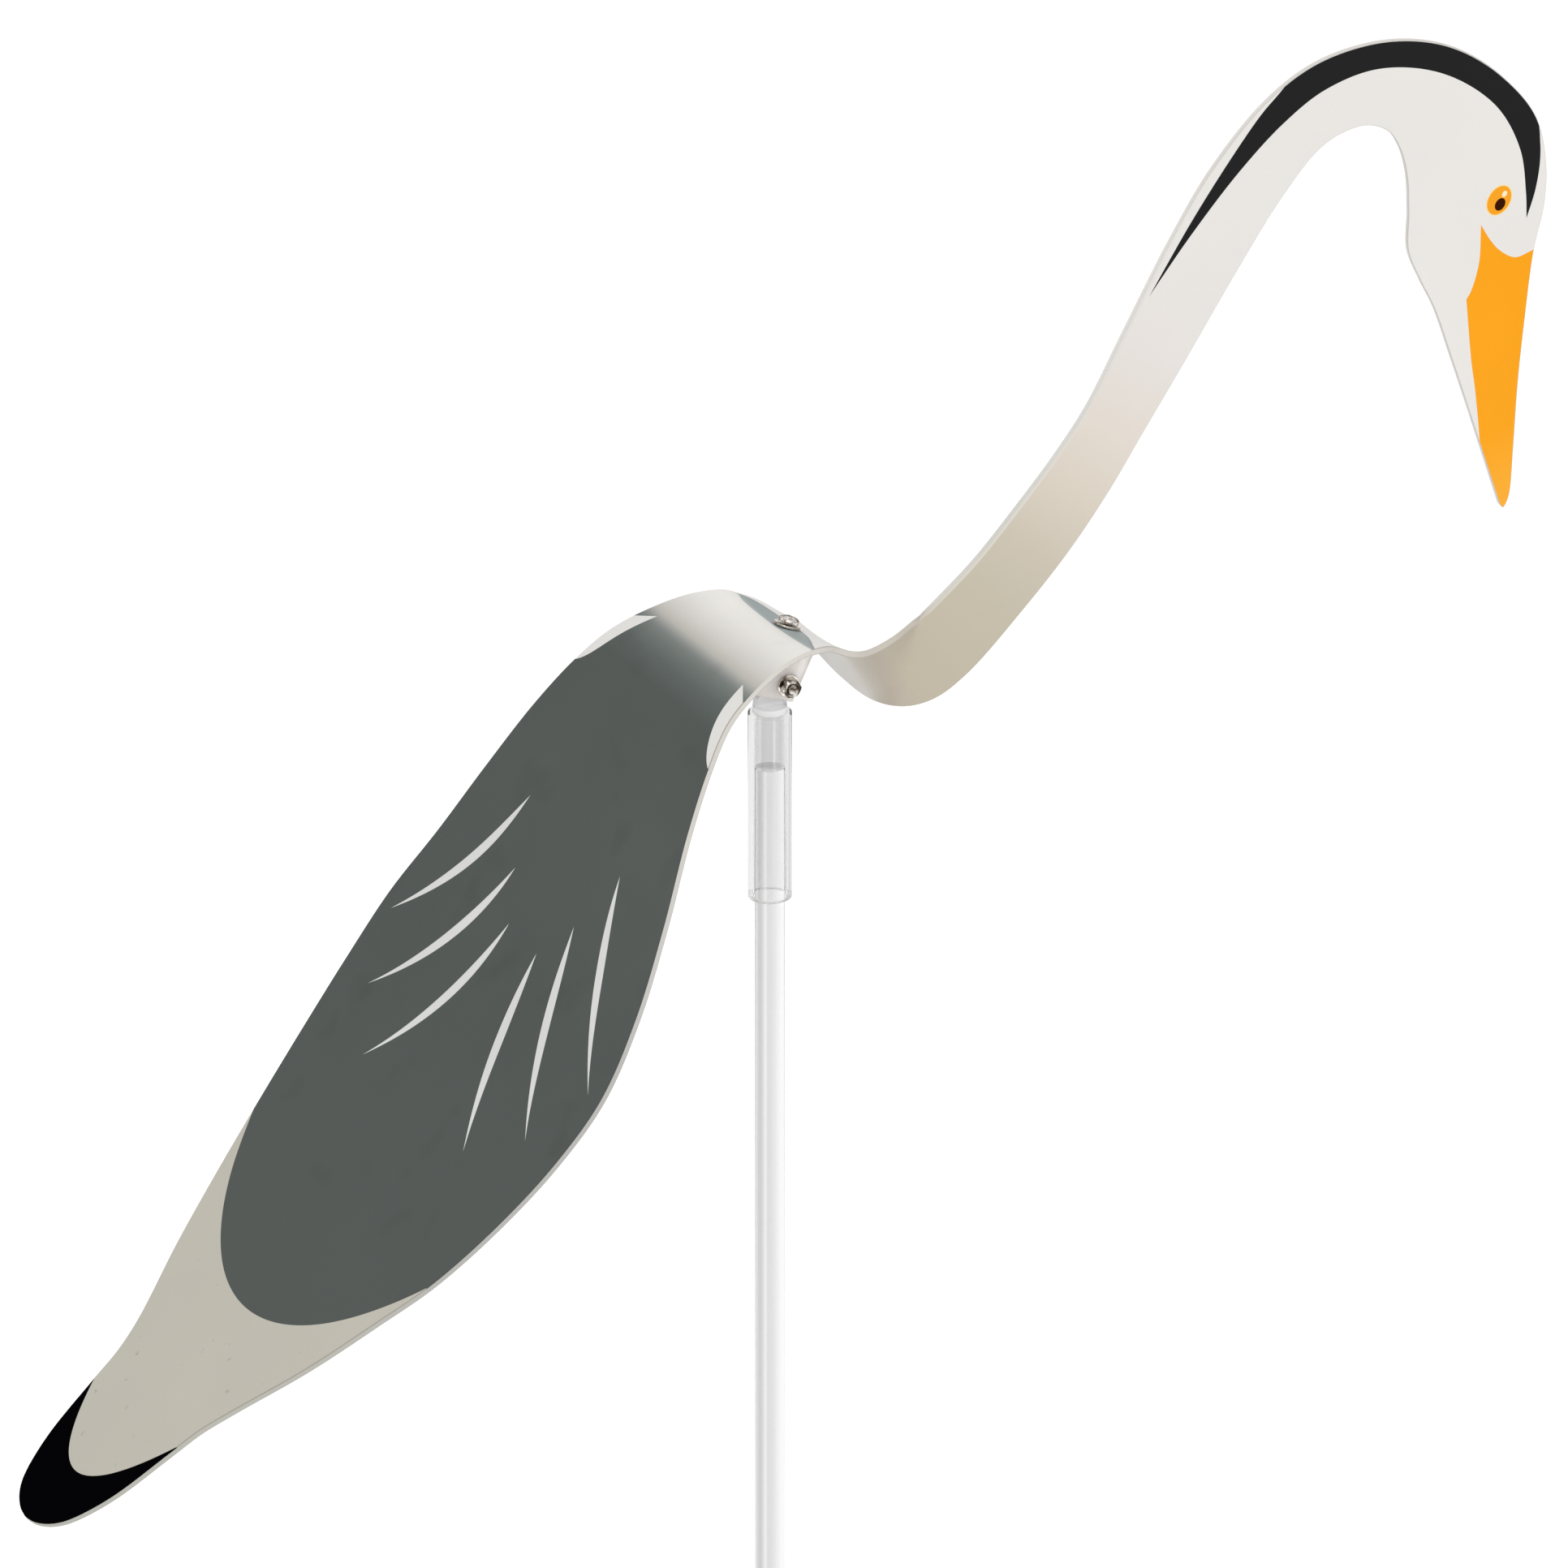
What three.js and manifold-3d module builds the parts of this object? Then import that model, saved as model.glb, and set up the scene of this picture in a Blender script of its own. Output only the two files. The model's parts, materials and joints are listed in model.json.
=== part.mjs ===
// Heron decoy that rocks on a clear rod.
// One plastic sheet is cut to a heron's outline and formed: the body and tail lie across the bird,
// the saddle is bent over a small bracket, and the shoulder turns a quarter so that the neck and
// head stand on edge. The bracket rocks on a bolt through a plug at the top of the rod.
// Millimetres, +Z up, the bird faces +X. The origin is on the rod's axis at ground level.
import * as THREE from 'three';
import { mergeVertices } from 'three/addons/utils/BufferGeometryUtils.js';
import Module from 'manifold-3d';

const wasm = await Module();
wasm.setup();

// Driving dimensions: the stand
const PIVOT_HEIGHT = 700;
const PIVOT_AHEAD = 5.3;
const ROD_DIAMETER = 11.6;
const SLEEVE_WALL = 2.5;
const SLEEVE_LENGTH = 78;
const SLEEVE_DROP = 12.6;
const PLUG_DEPTH = 23;
const COLLAR_LIP = 0.9;
const COLLAR_HEIGHT = 2.8;
const TONGUE_THICKNESS = 4.4;
const TONGUE_WALL = 2.7;
const TONGUE_SETBACK = 0.5;
const TONGUE_SHOULDER_DROP = 0.5;

// Driving dimensions: the sheet and the bracket under it
const BIRD_LENGTH = 638.5;
const SHEET_THICKNESS = 2.5;
const EAR_THICKNESS = 2.8;
const EAR_AHEAD = 5;
const EAR_BEHIND = 14;
const EAR_DROP = 6.2;
const EAR_REAR_DROP = 7.6;
const EAR_CORNER = 0.8;
const ROOF_THICKNESS = 4;
const BRACKET_TILT = THREE.MathUtils.degToRad(-25);

// Driving dimensions: the hardware
const BOLT_DIAMETER = 4;
const NUT_ACROSS_FLATS = 7;
const NUT_HEIGHT = 3.2;
const BOLT_HEAD_HEIGHT = 2.8;
const BOLT_END = 1.6;
const WASHER_DIAMETER = 9;
const WASHER_THICKNESS = 0.8;
const SCREW_DIAMETER = 4;
const SCREW_HEAD_DIAMETER = 8.6;
const SCREW_HEAD_HEIGHT = 2.9;
const SCREW_RIM_HEIGHT = 1;
const SCREW_REACH = 2;
const RECESS_LENGTH = 4.4;
const RECESS_WIDTH = 1.1;
const RECESS_DEPTH = 1.2;
const COLLAR_WASHER_DIAMETER = 11.4;
const COLLAR_WASHER_THICKNESS = 1;

// Gaps between pieces that touch
const SEAT_GAP = 0.3;
const HOLE_GAP = 0.3;

const ROUND_STEPS = 40;
const SMALL_STEPS = 24;
const STEPS_PER_STATION = 4;
const STEPS_ACROSS = 4;
const DOME_STEPS = 6;
const WELD_DISTANCE = 1e-4;

// Sizes that follow from the others
const SLEEVE_BORE = ROD_DIAMETER + 2 * SEAT_GAP;
const SLEEVE_OUTER = SLEEVE_BORE + 2 * SLEEVE_WALL;
const COLLAR_DIAMETER = ROD_DIAMETER + 2 * COLLAR_LIP;
const TONGUE_RADIUS = BOLT_DIAMETER / 2 + HOLE_GAP + TONGUE_WALL;
const EAR_INNER = TONGUE_THICKNESS / 2 + SEAT_GAP;
const EAR_OUTER = EAR_INNER + EAR_THICKNESS;

// The sheet's outline below is drawn for a bird of this length, and is a share of BIRD_LENGTH.
const DRAWN_LENGTH = 638.5;

// The body from the tail's end to the front of the saddle. Each station is the middle of the
// sheet, seen from the pivot bolt: how far ahead, how high, half the width, and the roll in
// degrees that puts the far edge lower.
const BODY_STATIONS = [
  [-317.5, -297.2, 1, 0],
  [-316.6, -296.5, 7.3, 0],
  [-313.5, -294.1, 15.6, 0],
  [-308.6, -290.4, 22.1, 0],
  [-294.9, -279.9, 30.7, 0],
  [-273, -262.7, 36.8, 0],
  [-261.7, -253.9, 39.7, 0],
  [-250.4, -245, 45.7, 0],
  [-226.7, -224.3, 62.6, 0],
  [-203, -202.9, 76.6, 0],
  [-183.3, -185, 87.1, 0],
  [-159.4, -160.1, 96.3, 0],
  [-138, -135.5, 101.8, 0],
  [-119.9, -112, 102.8, 0],
  [-102.5, -85.3, 95.9, 0.5],
  [-86.5, -55.1, 86, 1.5],
  [-71.4, -25.2, 74.3, 2.9],
  [-58.1, -3.8, 64.6, 3.8],
  [-46.9, 9.4, 57, 4.1],
  [-33.7, 17.9, 50.6, 4.3],
  [-19.2, 23.9, 45, 5],
  [-7.7, 25.4, 40.6, 5.5],
  [-3.1, 24.4, 38, 5.9],
  [2.8, 22.6, 34.2, 6.7],
  [9, 18.9, 26.4, 7.4],
];

// The quarter turn at the shoulder: the middle of the strip, and from there to its far edge.
const TURN_STATIONS = [
  { middle: [15.9, 14.1], reach: [0, 17.5, -2.5] },
  { middle: [22.3, 7.5], reach: [0.3, 16.4, -6.1] },
  { middle: [30.7, 1], reach: [0.4, 13.2, -10.4] },
  { middle: [42.1, -3], reach: [-0.9, 8.4, -15.8] },
];

// The neck and head lie in the upright plane through the rod: back edge, then throat edge.
const NECK_STATIONS = [
  [56.2, 14.9, 49.5, -20.2],
  [59.4, 17.5, 63.2, -19.5],
  [63, 20.5, 77, -11.6],
  [80.4, 35.8, 102, 12.7],
  [97.8, 54.7, 120.7, 33.5],
  [114.4, 74.2, 137.4, 55.8],
  [127.7, 92.5, 151.2, 77.2],
  [142.7, 120.1, 167.8, 102.7],
  [163.3, 157.5, 190.5, 138.3],
  [180.3, 183.6, 208.4, 164.7],
  [203.1, 208, 224.6, 183.2],
  [223.5, 220.1, 234.6, 188.7],
  [247.9, 224.4, 245.5, 190.2],
  [268.8, 221.6, 254.2, 186.1],
  [285.6, 214.2, 259.2, 177.9],
  [302.7, 200.2, 262.2, 165.8],
  [316.5, 181.3, 262.9, 150.2],
  [321, 160.5, 262.8, 134.1],
  [320.3, 143.2, 267.8, 120.7],
  [315.9, 124.1, 273.9, 107.5],
  [312.3, 96.3, 281.3, 84.9],
  [309.5, 69.6, 288.2, 63.1],
  [307.6, 41.3, 296, 37.8],
  [306.3, 24.1, 300.8, 22.3],
  [305.2, 20, 301.9, 19],
  [303.9, 17.6, 303.2, 17.4],
];

// The screw goes through the saddle here, counted in stations from the tail's end, and draws the
// middle of the sheet down. The dip dies away over a few stations and towards both edges. The
// bracket below lies well within its own number of stations to each side of the screw.
const SCREW_STATION = 22.8;
const SCREW_DIP = 2.2;
const DIP_STATIONS = 3.5;
const BRACKET_STATIONS = 5;

// Looks, as plain surface values
const paint = (color, roughness, metalness = 0, opacity = 1) => new THREE.MeshStandardMaterial({
  color, roughness, metalness, opacity, transparent: opacity < 1,
});
const printedSheet = paint(0xe4e2dc, 0.42);
const clearPlastic = paint(0xe8ecec, 0.12, 0, 0.35);
const steel = paint(0xb9b6ae, 0.24, 1);

// Solids and their cuts
function solidOf(geometry) {
  const bare = geometry.clone();
  bare.deleteAttribute('normal');
  bare.deleteAttribute('uv');
  const joined = mergeVertices(bare, WELD_DISTANCE);
  const mesh = new wasm.Mesh({
    numProp: 3,
    vertProperties: new Float32Array(joined.attributes.position.array),
    triVerts: new Uint32Array(joined.index.array),
  });
  return new wasm.Manifold(mesh);
}

function geometryOf(solid) {
  const mesh = solid.getMesh();
  const geometry = new THREE.BufferGeometry();
  geometry.setAttribute('position', new THREE.BufferAttribute(mesh.vertProperties, 3));
  geometry.setIndex(new THREE.BufferAttribute(mesh.triVerts, 1));
  geometry.computeVertexNormals();
  return geometry;
}

function rod(radius, length, steps = SMALL_STEPS) {
  // A cylinder along +Z that starts at the origin
  const shape = new THREE.CylinderGeometry(radius, radius, length, steps);
  return shape.rotateX(Math.PI / 2).translate(0, 0, length / 2);
}

function turned(profile, steps = ROUND_STEPS) {
  // A round piece about Z, from pairs of radius and height that start and end on the axis
  const points = profile.map(([radius, height]) => new THREE.Vector2(radius, height));
  return new THREE.LatheGeometry(points, steps).rotateX(Math.PI / 2);
}

function hexagon(acrossFlats, height) {
  const radius = acrossFlats / Math.sqrt(3);
  const shape = new THREE.CylinderGeometry(radius, radius, height, 6);
  return shape.rotateX(Math.PI / 2).translate(0, 0, height / 2);
}

function plate(outline, thickness) {
  // An outline in the upright plane, seen with +X to the right, made thick to both sides
  const settings = { depth: thickness, bevelEnabled: false, curveSegments: 8 };
  const shape = new THREE.ExtrudeGeometry(outline, settings);
  return shape.translate(0, 0, -thickness / 2).rotateX(Math.PI / 2);
}

function earOutline(top) {
  // The bracket seen from the near side, upright: its lower edge drops a little towards the rear
  const outline = new THREE.Shape();
  outline.moveTo(-EAR_BEHIND, top);
  outline.lineTo(-EAR_BEHIND, -EAR_REAR_DROP + EAR_CORNER);
  outline.quadraticCurveTo(-EAR_BEHIND, -EAR_REAR_DROP, -EAR_BEHIND + EAR_CORNER, -EAR_REAR_DROP);
  outline.lineTo(EAR_AHEAD - EAR_CORNER, -EAR_DROP);
  outline.quadraticCurveTo(EAR_AHEAD, -EAR_DROP, EAR_AHEAD, -EAR_DROP + EAR_CORNER);
  outline.lineTo(EAR_AHEAD, top);
  return outline;
}

// The sheet's two edges, as curves that share one parameter
function sheetEdges() {
  const near = [];
  const far = [];
  for (const [ahead, up, half, roll] of BODY_STATIONS) {
    const angle = THREE.MathUtils.degToRad(roll);
    const reach = new THREE.Vector3(0, half * Math.cos(angle), -half * Math.sin(angle));
    const middle = new THREE.Vector3(ahead, 0, up);
    near.push(middle.clone().sub(reach));
    far.push(middle.clone().add(reach));
  }
  for (const { middle: [ahead, up], reach } of TURN_STATIONS) {
    const middle = new THREE.Vector3(ahead, 0, up);
    near.push(middle.clone().sub(new THREE.Vector3(...reach)));
    far.push(middle.clone().add(new THREE.Vector3(...reach)));
  }
  for (const [backX, backZ, throatX, throatZ] of NECK_STATIONS) {
    near.push(new THREE.Vector3(backX, 0, backZ));
    far.push(new THREE.Vector3(throatX, 0, throatZ));
  }
  const share = BIRD_LENGTH / DRAWN_LENGTH;
  for (const point of [...near, ...far]) point.multiplyScalar(share);
  return {
    near: new THREE.CatmullRomCurve3(near, false, 'centripetal'),
    far: new THREE.CatmullRomCurve3(far, false, 'centripetal'),
    last: near.length - 1,
  };
}
const edges = sheetEdges();

function sheetPoint(station, across) {
  // A point of the sheet's middle surface: across runs from 0 at the near edge to 1 at the far edge
  const share = THREE.MathUtils.clamp(station / edges.last, 0, 1);
  const point = edges.near.getPoint(share).lerp(edges.far.getPoint(share), across);
  const away = Math.min(Math.abs(station - SCREW_STATION) / DIP_STATIONS, 1);
  point.z -= SCREW_DIP * 4 * across * (1 - across) * (1 - away * away) ** 2;
  return point;
}

function sheetNormal(station, across) {
  const nudge = 1 / 64;
  const along = sheetPoint(station + nudge, across).sub(sheetPoint(station - nudge, across));
  const side = sheetPoint(station, across + nudge).sub(sheetPoint(station, across - nudge));
  return along.cross(side).normalize();
}

function sheetSolid(firstStation, lastStation, below, above) {
  // The sheet between two stations, as a closed grid from below to above the middle surface
  const rows = Math.round((lastStation - firstStation) * STEPS_PER_STATION);
  const positions = [];
  for (let row = 0; row <= rows; row += 1) {
    const station = firstStation + (lastStation - firstStation) * row / rows;
    for (const offset of [above, below]) {
      for (let column = 0; column <= STEPS_ACROSS; column += 1) {
        const across = column / STEPS_ACROSS;
        const point = sheetPoint(station, across);
        point.addScaledVector(sheetNormal(station, across), offset);
        positions.push(point.x, point.y, point.z);
      }
    }
  }
  const perFace = STEPS_ACROSS + 1;
  const top = (row, column) => row * 2 * perFace + column;
  const under = (row, column) => top(row, column) + perFace;
  const index = [];
  const quad = (a, b, c, d) => index.push(a, b, c, a, c, d);
  for (let row = 0; row < rows; row += 1) {
    const next = row + 1;
    for (let column = 0; column < STEPS_ACROSS; column += 1) {
      const beside = column + 1;
      quad(top(row, column), top(next, column), top(next, beside), top(row, beside));
      quad(under(row, column), under(row, beside), under(next, beside), under(next, column));
    }
    const edge = STEPS_ACROSS;
    quad(under(row, 0), under(next, 0), top(next, 0), top(row, 0));
    quad(top(row, edge), top(next, edge), under(next, edge), under(row, edge));
  }
  for (let column = 0; column < STEPS_ACROSS; column += 1) {
    quad(under(0, column), top(0, column), top(0, column + 1), under(0, column + 1));
    quad(top(rows, column), under(rows, column), under(rows, column + 1), top(rows, column + 1));
  }
  const geometry = new THREE.BufferGeometry();
  geometry.setAttribute('position', new THREE.Float32BufferAttribute(positions, 3));
  geometry.setIndex(index);
  return geometry;
}

// The screw's place on the saddle: its axis is square to the sheet there
const screwSeat = sheetPoint(SCREW_STATION, 0.5);
const screwNormal = sheetNormal(SCREW_STATION, 0.5);
const screwTurn = new THREE.Quaternion().setFromUnitVectors(new THREE.Vector3(0, 0, 1), screwNormal);

function atScrew(geometry, lift) {
  // Sets a piece made along +Z on the screw's axis, lifted from the sheet's middle surface
  const place = screwSeat.clone().addScaledVector(screwNormal, lift);
  return geometry.applyQuaternion(screwTurn).translate(place.x, place.y, place.z);
}

function alongBolt(geometry, start) {
  // Sets a piece made along +Z on the bolt's axis, running towards the near side from start
  return geometry.rotateX(Math.PI / 2).translate(0, -start, 0);
}

// The bird's own pieces, with the pivot bolt at their origin
function heron() {
  const half = SHEET_THICKNESS / 2;
  const sheet = solidOf(sheetSolid(0, edges.last, -half, half));
  const holeDepth = SHEET_THICKNESS * 3;
  const hole = atScrew(rod(SCREW_DIAMETER / 2 + HOLE_GAP, holeDepth), -holeDepth / 2);
  return geometryOf(sheet.subtract(solidOf(hole)));
}

function collarWasher() {
  const seat = SHEET_THICKNESS / 2 + SEAT_GAP;
  const disc = atScrew(rod(COLLAR_WASHER_DIAMETER / 2, COLLAR_WASHER_THICKNESS), seat);
  const hole = atScrew(rod(SCREW_DIAMETER / 2 + HOLE_GAP, seat + COLLAR_WASHER_THICKNESS * 2), 0);
  return geometryOf(solidOf(disc).subtract(solidOf(hole)));
}

function collarScrew() {
  const half = SHEET_THICKNESS / 2;
  const headSeat = half + COLLAR_WASHER_THICKNESS + 2 * SEAT_GAP;
  const headRadius = SCREW_HEAD_DIAMETER / 2;
  const domeHeight = SCREW_HEAD_HEIGHT - SCREW_RIM_HEIGHT;
  const profile = [[0, 0], [headRadius, 0]];
  for (let step = 0; step < DOME_STEPS; step += 1) {
    const angle = (Math.PI / 2) * step / DOME_STEPS;
    const height = SCREW_RIM_HEIGHT + domeHeight * Math.sin(angle);
    profile.push([headRadius * Math.cos(angle), height]);
  }
  profile.push([0, SCREW_HEAD_HEIGHT]);
  const shankTop = headSeat + SCREW_RIM_HEIGHT / 2;
  const shankLength = shankTop + half + SEAT_GAP + ROOF_THICKNESS + SCREW_REACH;
  const shank = rod(SCREW_DIAMETER / 2, shankLength).translate(0, 0, shankTop - shankLength);
  let screw = solidOf(turned(profile, SMALL_STEPS).translate(0, 0, headSeat)).add(solidOf(shank));
  for (const turn of [0, Math.PI / 2]) {
    const slot = new THREE.BoxGeometry(RECESS_LENGTH, RECESS_WIDTH, RECESS_DEPTH * 2);
    slot.rotateZ(turn).translate(0, 0, headSeat + SCREW_HEAD_HEIGHT);
    screw = screw.subtract(solidOf(slot));
  }
  return atScrew(geometryOf(screw), 0);
}

function pivotBracket() {
  // Two ears under a solid roof, made upright, leaned over, and cut to fit under the sheet
  const half = SHEET_THICKNESS / 2;
  const underRoof = screwSeat.clone().addScaledVector(screwNormal, -half - ROOF_THICKNESS);
  const level = underRoof.z * Math.cos(BRACKET_TILT) - underRoof.x * Math.sin(BRACKET_TILT);
  const top = level + ROOF_THICKNESS * 4;
  const block = plate(earOutline(top), 2 * EAR_OUTER);
  const slotHeight = level + 3 * Math.max(EAR_DROP, EAR_REAR_DROP);
  const slot = new THREE.BoxGeometry((EAR_BEHIND + EAR_AHEAD) * 3, 2 * EAR_INNER, slotHeight);
  slot.translate(0, 0, level - slotHeight / 2);
  const upright = geometryOf(solidOf(block).subtract(solidOf(slot)));
  const leaned = solidOf(upright.rotateY(-BRACKET_TILT));
  const boltHole = alongBolt(rod(BOLT_DIAMETER / 2 + HOLE_GAP, EAR_OUTER * 4), -EAR_OUTER * 2);
  const screwHole = rod(SCREW_DIAMETER / 2 + HOLE_GAP, ROOF_THICKNESS * 4);
  atScrew(screwHole, -ROOF_THICKNESS * 3);
  const first = SCREW_STATION - BRACKET_STATIONS;
  const last = SCREW_STATION + BRACKET_STATIONS;
  const above = sheetSolid(first, last, -half - SEAT_GAP, ROOF_THICKNESS * 6);
  const fitted = leaned.subtract(solidOf(above));
  return geometryOf(fitted.subtract(solidOf(boltHole)).subtract(solidOf(screwHole)));
}

function pivotBolt() {
  const headSeat = -EAR_OUTER - SEAT_GAP;
  const shankStart = headSeat - BOLT_HEAD_HEIGHT / 2;
  const shankEnd = EAR_OUTER + WASHER_THICKNESS + 2 * SEAT_GAP + NUT_HEIGHT + BOLT_END;
  const head = alongBolt(hexagon(NUT_ACROSS_FLATS, BOLT_HEAD_HEIGHT), headSeat - BOLT_HEAD_HEIGHT);
  const shank = alongBolt(rod(BOLT_DIAMETER / 2, shankEnd - shankStart), shankStart);
  return geometryOf(solidOf(head).add(solidOf(shank)));
}

function ringOnBolt(outer, thickness, start) {
  const hole = alongBolt(rod(BOLT_DIAMETER / 2 + HOLE_GAP, thickness * 3), start - thickness);
  return geometryOf(solidOf(alongBolt(outer, start)).subtract(solidOf(hole)));
}

function pivotWasher() {
  return ringOnBolt(rod(WASHER_DIAMETER / 2, WASHER_THICKNESS), WASHER_THICKNESS, EAR_OUTER + SEAT_GAP);
}

function pivotNut() {
  const start = EAR_OUTER + WASHER_THICKNESS + 2 * SEAT_GAP;
  return ringOnBolt(hexagon(NUT_ACROSS_FLATS, NUT_HEIGHT), NUT_HEIGHT, start);
}

// The stand's pieces, with the rod's axis at x = 0 and their heights counted from the pivot
function touchAngle(centre, radius, corner, side) {
  // Where a straight line from the corner touches the circle, as an angle on the circle
  const towards = Math.atan2(corner.y - centre.y, corner.x - centre.x);
  return towards + side * Math.acos(radius / centre.distanceTo(corner));
}

function rodPlug() {
  const collarFoot = -SLEEVE_DROP + SEAT_GAP;
  const collarTop = collarFoot + COLLAR_HEIGHT;
  const radius = ROD_DIAMETER / 2;
  const body = solidOf(turned([
    [0, -SLEEVE_DROP - PLUG_DEPTH],
    [radius, -SLEEVE_DROP - PLUG_DEPTH],
    [radius, collarFoot],
    [COLLAR_DIAMETER / 2, collarFoot],
    [COLLAR_DIAMETER / 2, collarTop],
    [0, collarTop],
  ]));
  const pivot = new THREE.Vector2(PIVOT_AHEAD, 0);
  const shoulder = -TONGUE_RADIUS - TONGUE_SHOULDER_DROP;
  const front = new THREE.Vector2(COLLAR_DIAMETER / 2 - TONGUE_SETBACK, shoulder);
  const rear = new THREE.Vector2(-front.x, shoulder);
  const rooted = collarTop - COLLAR_HEIGHT / 2;
  const outline = new THREE.Shape();
  outline.moveTo(rear.x, rooted);
  outline.lineTo(front.x, rooted);
  outline.lineTo(front.x, front.y);
  const start = touchAngle(pivot, TONGUE_RADIUS, front, 1);
  const end = touchAngle(pivot, TONGUE_RADIUS, rear, -1);
  outline.absarc(pivot.x, pivot.y, TONGUE_RADIUS, start, end, false);
  outline.lineTo(rear.x, rear.y);
  const tongue = solidOf(plate(outline, TONGUE_THICKNESS));
  const hole = rod(BOLT_DIAMETER / 2 + HOLE_GAP, TONGUE_THICKNESS * 2);
  alongBolt(hole, -TONGUE_THICKNESS);
  hole.translate(pivot.x, 0, 0);
  return geometryOf(body.add(tongue).subtract(solidOf(hole)));
}

function couplerSleeve() {
  const foot = -SLEEVE_DROP - SLEEVE_LENGTH;
  const section = [
    new THREE.Vector2(SLEEVE_BORE / 2, foot),
    new THREE.Vector2(SLEEVE_OUTER / 2, foot),
    new THREE.Vector2(SLEEVE_OUTER / 2, -SLEEVE_DROP),
    new THREE.Vector2(SLEEVE_BORE / 2, -SLEEVE_DROP),
    new THREE.Vector2(SLEEVE_BORE / 2, foot),
  ];
  return new THREE.LatheGeometry(section, ROUND_STEPS).rotateX(Math.PI / 2);
}

function standRod() {
  const length = PIVOT_HEIGHT - SLEEVE_DROP - PLUG_DEPTH - SEAT_GAP;
  return rod(ROD_DIAMETER / 2, length, ROUND_STEPS);
}

// The scene graph
function named(name, geometry, material) {
  const mesh = new THREE.Mesh(geometry, material);
  mesh.name = name;
  return mesh;
}

const decoy = new THREE.Group();

const bird = new THREE.Group();
bird.position.set(PIVOT_AHEAD, 0, PIVOT_HEIGHT);
bird.add(
  named('heron', heron(), printedSheet),
  named('collar_washer', collarWasher(), steel),
  named('collar_screw', collarScrew(), steel),
  named('pivot_bracket', pivotBracket(), clearPlastic),
  named('pivot_bolt', pivotBolt(), steel),
  named('pivot_washer', pivotWasher(), steel),
  named('pivot_nut', pivotNut(), steel),
);

const standHead = new THREE.Group();
standHead.position.set(0, 0, PIVOT_HEIGHT);
standHead.add(
  named('rod_plug', rodPlug(), clearPlastic),
  named('coupler_sleeve', couplerSleeve(), clearPlastic),
);

decoy.add(bird, standHead, named('rod', standRod(), clearPlastic));

export default decoy;
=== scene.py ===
import json
import math

import bmesh
import bpy
import numpy as np
from mathutils import Matrix, Vector
from mathutils.geometry import delaunay_2d_cdt
from mathutils.kdtree import KDTree

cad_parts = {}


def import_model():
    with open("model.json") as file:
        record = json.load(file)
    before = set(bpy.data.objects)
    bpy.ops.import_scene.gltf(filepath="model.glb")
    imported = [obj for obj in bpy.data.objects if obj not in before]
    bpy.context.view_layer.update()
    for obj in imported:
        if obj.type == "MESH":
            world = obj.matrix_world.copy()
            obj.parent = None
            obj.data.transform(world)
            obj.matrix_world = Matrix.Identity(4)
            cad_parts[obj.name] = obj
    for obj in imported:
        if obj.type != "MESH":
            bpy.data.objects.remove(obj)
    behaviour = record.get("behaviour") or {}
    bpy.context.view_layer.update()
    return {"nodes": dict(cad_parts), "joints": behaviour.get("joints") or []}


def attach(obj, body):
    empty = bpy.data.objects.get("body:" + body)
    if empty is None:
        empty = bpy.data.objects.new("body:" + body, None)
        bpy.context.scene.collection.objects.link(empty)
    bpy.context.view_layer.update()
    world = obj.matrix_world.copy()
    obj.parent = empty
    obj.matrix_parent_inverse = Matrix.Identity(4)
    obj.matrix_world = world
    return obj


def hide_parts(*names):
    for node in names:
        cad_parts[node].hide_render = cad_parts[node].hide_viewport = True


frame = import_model()

MM = 0.001
BIRD = "bird"
STAND = "stand"
PIVOT = Vector(frame["joints"][0]["pos_m"])

# The picture: what it spans at the object, where its middle is, and where it is seen from
PICTURE_SPAN = 0.60375
PICTURE_RIGHT = 0.00059
PICTURE_BELOW = 0.04016
CAMERA_AZIMUTH = math.radians(-23.6)
CAMERA_ELEVATION = math.radians(25)
CAMERA_LENS = 1650
SENSOR = 36

# The formed sheet, as in the solid: see sheet_edges
SHEET_THICKNESS = 2.5
SHEET_ROUNDING = 0.3
SCREW_STATION = 22.8
SCREW_DIP = 2.2
DIP_STATIONS = 3.5
SCREW_HOLE_RADIUS = 2.3
BODY_STATIONS = [
    [-317.5, -297.2, 1, 0],
    [-316.6, -296.5, 7.3, 0],
    [-313.5, -294.1, 15.6, 0],
    [-308.6, -290.4, 22.1, 0],
    [-294.9, -279.9, 30.7, 0],
    [-273, -262.7, 36.8, 0],
    [-261.7, -253.9, 39.7, 0],
    [-250.4, -245, 45.7, 0],
    [-226.7, -224.3, 62.6, 0],
    [-203, -202.9, 76.6, 0],
    [-183.3, -185, 87.1, 0],
    [-159.4, -160.1, 96.3, 0],
    [-138, -135.5, 101.8, 0],
    [-119.9, -112, 102.8, 0],
    [-102.5, -85.3, 95.9, 0.5],
    [-86.5, -55.1, 86, 1.5],
    [-71.4, -25.2, 74.3, 2.9],
    [-58.1, -3.8, 64.6, 3.8],
    [-46.9, 9.4, 57, 4.1],
    [-33.7, 17.9, 50.6, 4.3],
    [-19.2, 23.9, 45, 5],
    [-7.7, 25.4, 40.6, 5.5],
    [-3.1, 24.4, 38, 5.9],
    [2.8, 22.6, 34.2, 6.7],
    [9, 18.9, 26.4, 7.4],
]
TURN_STATIONS = [
    [15.9, 14.1, 0, 17.5, -2.5],
    [22.3, 7.5, 0.3, 16.4, -6.1],
    [30.7, 1, 0.4, 13.2, -10.4],
    [42.1, -3, -0.9, 8.4, -15.8],
]
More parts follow.
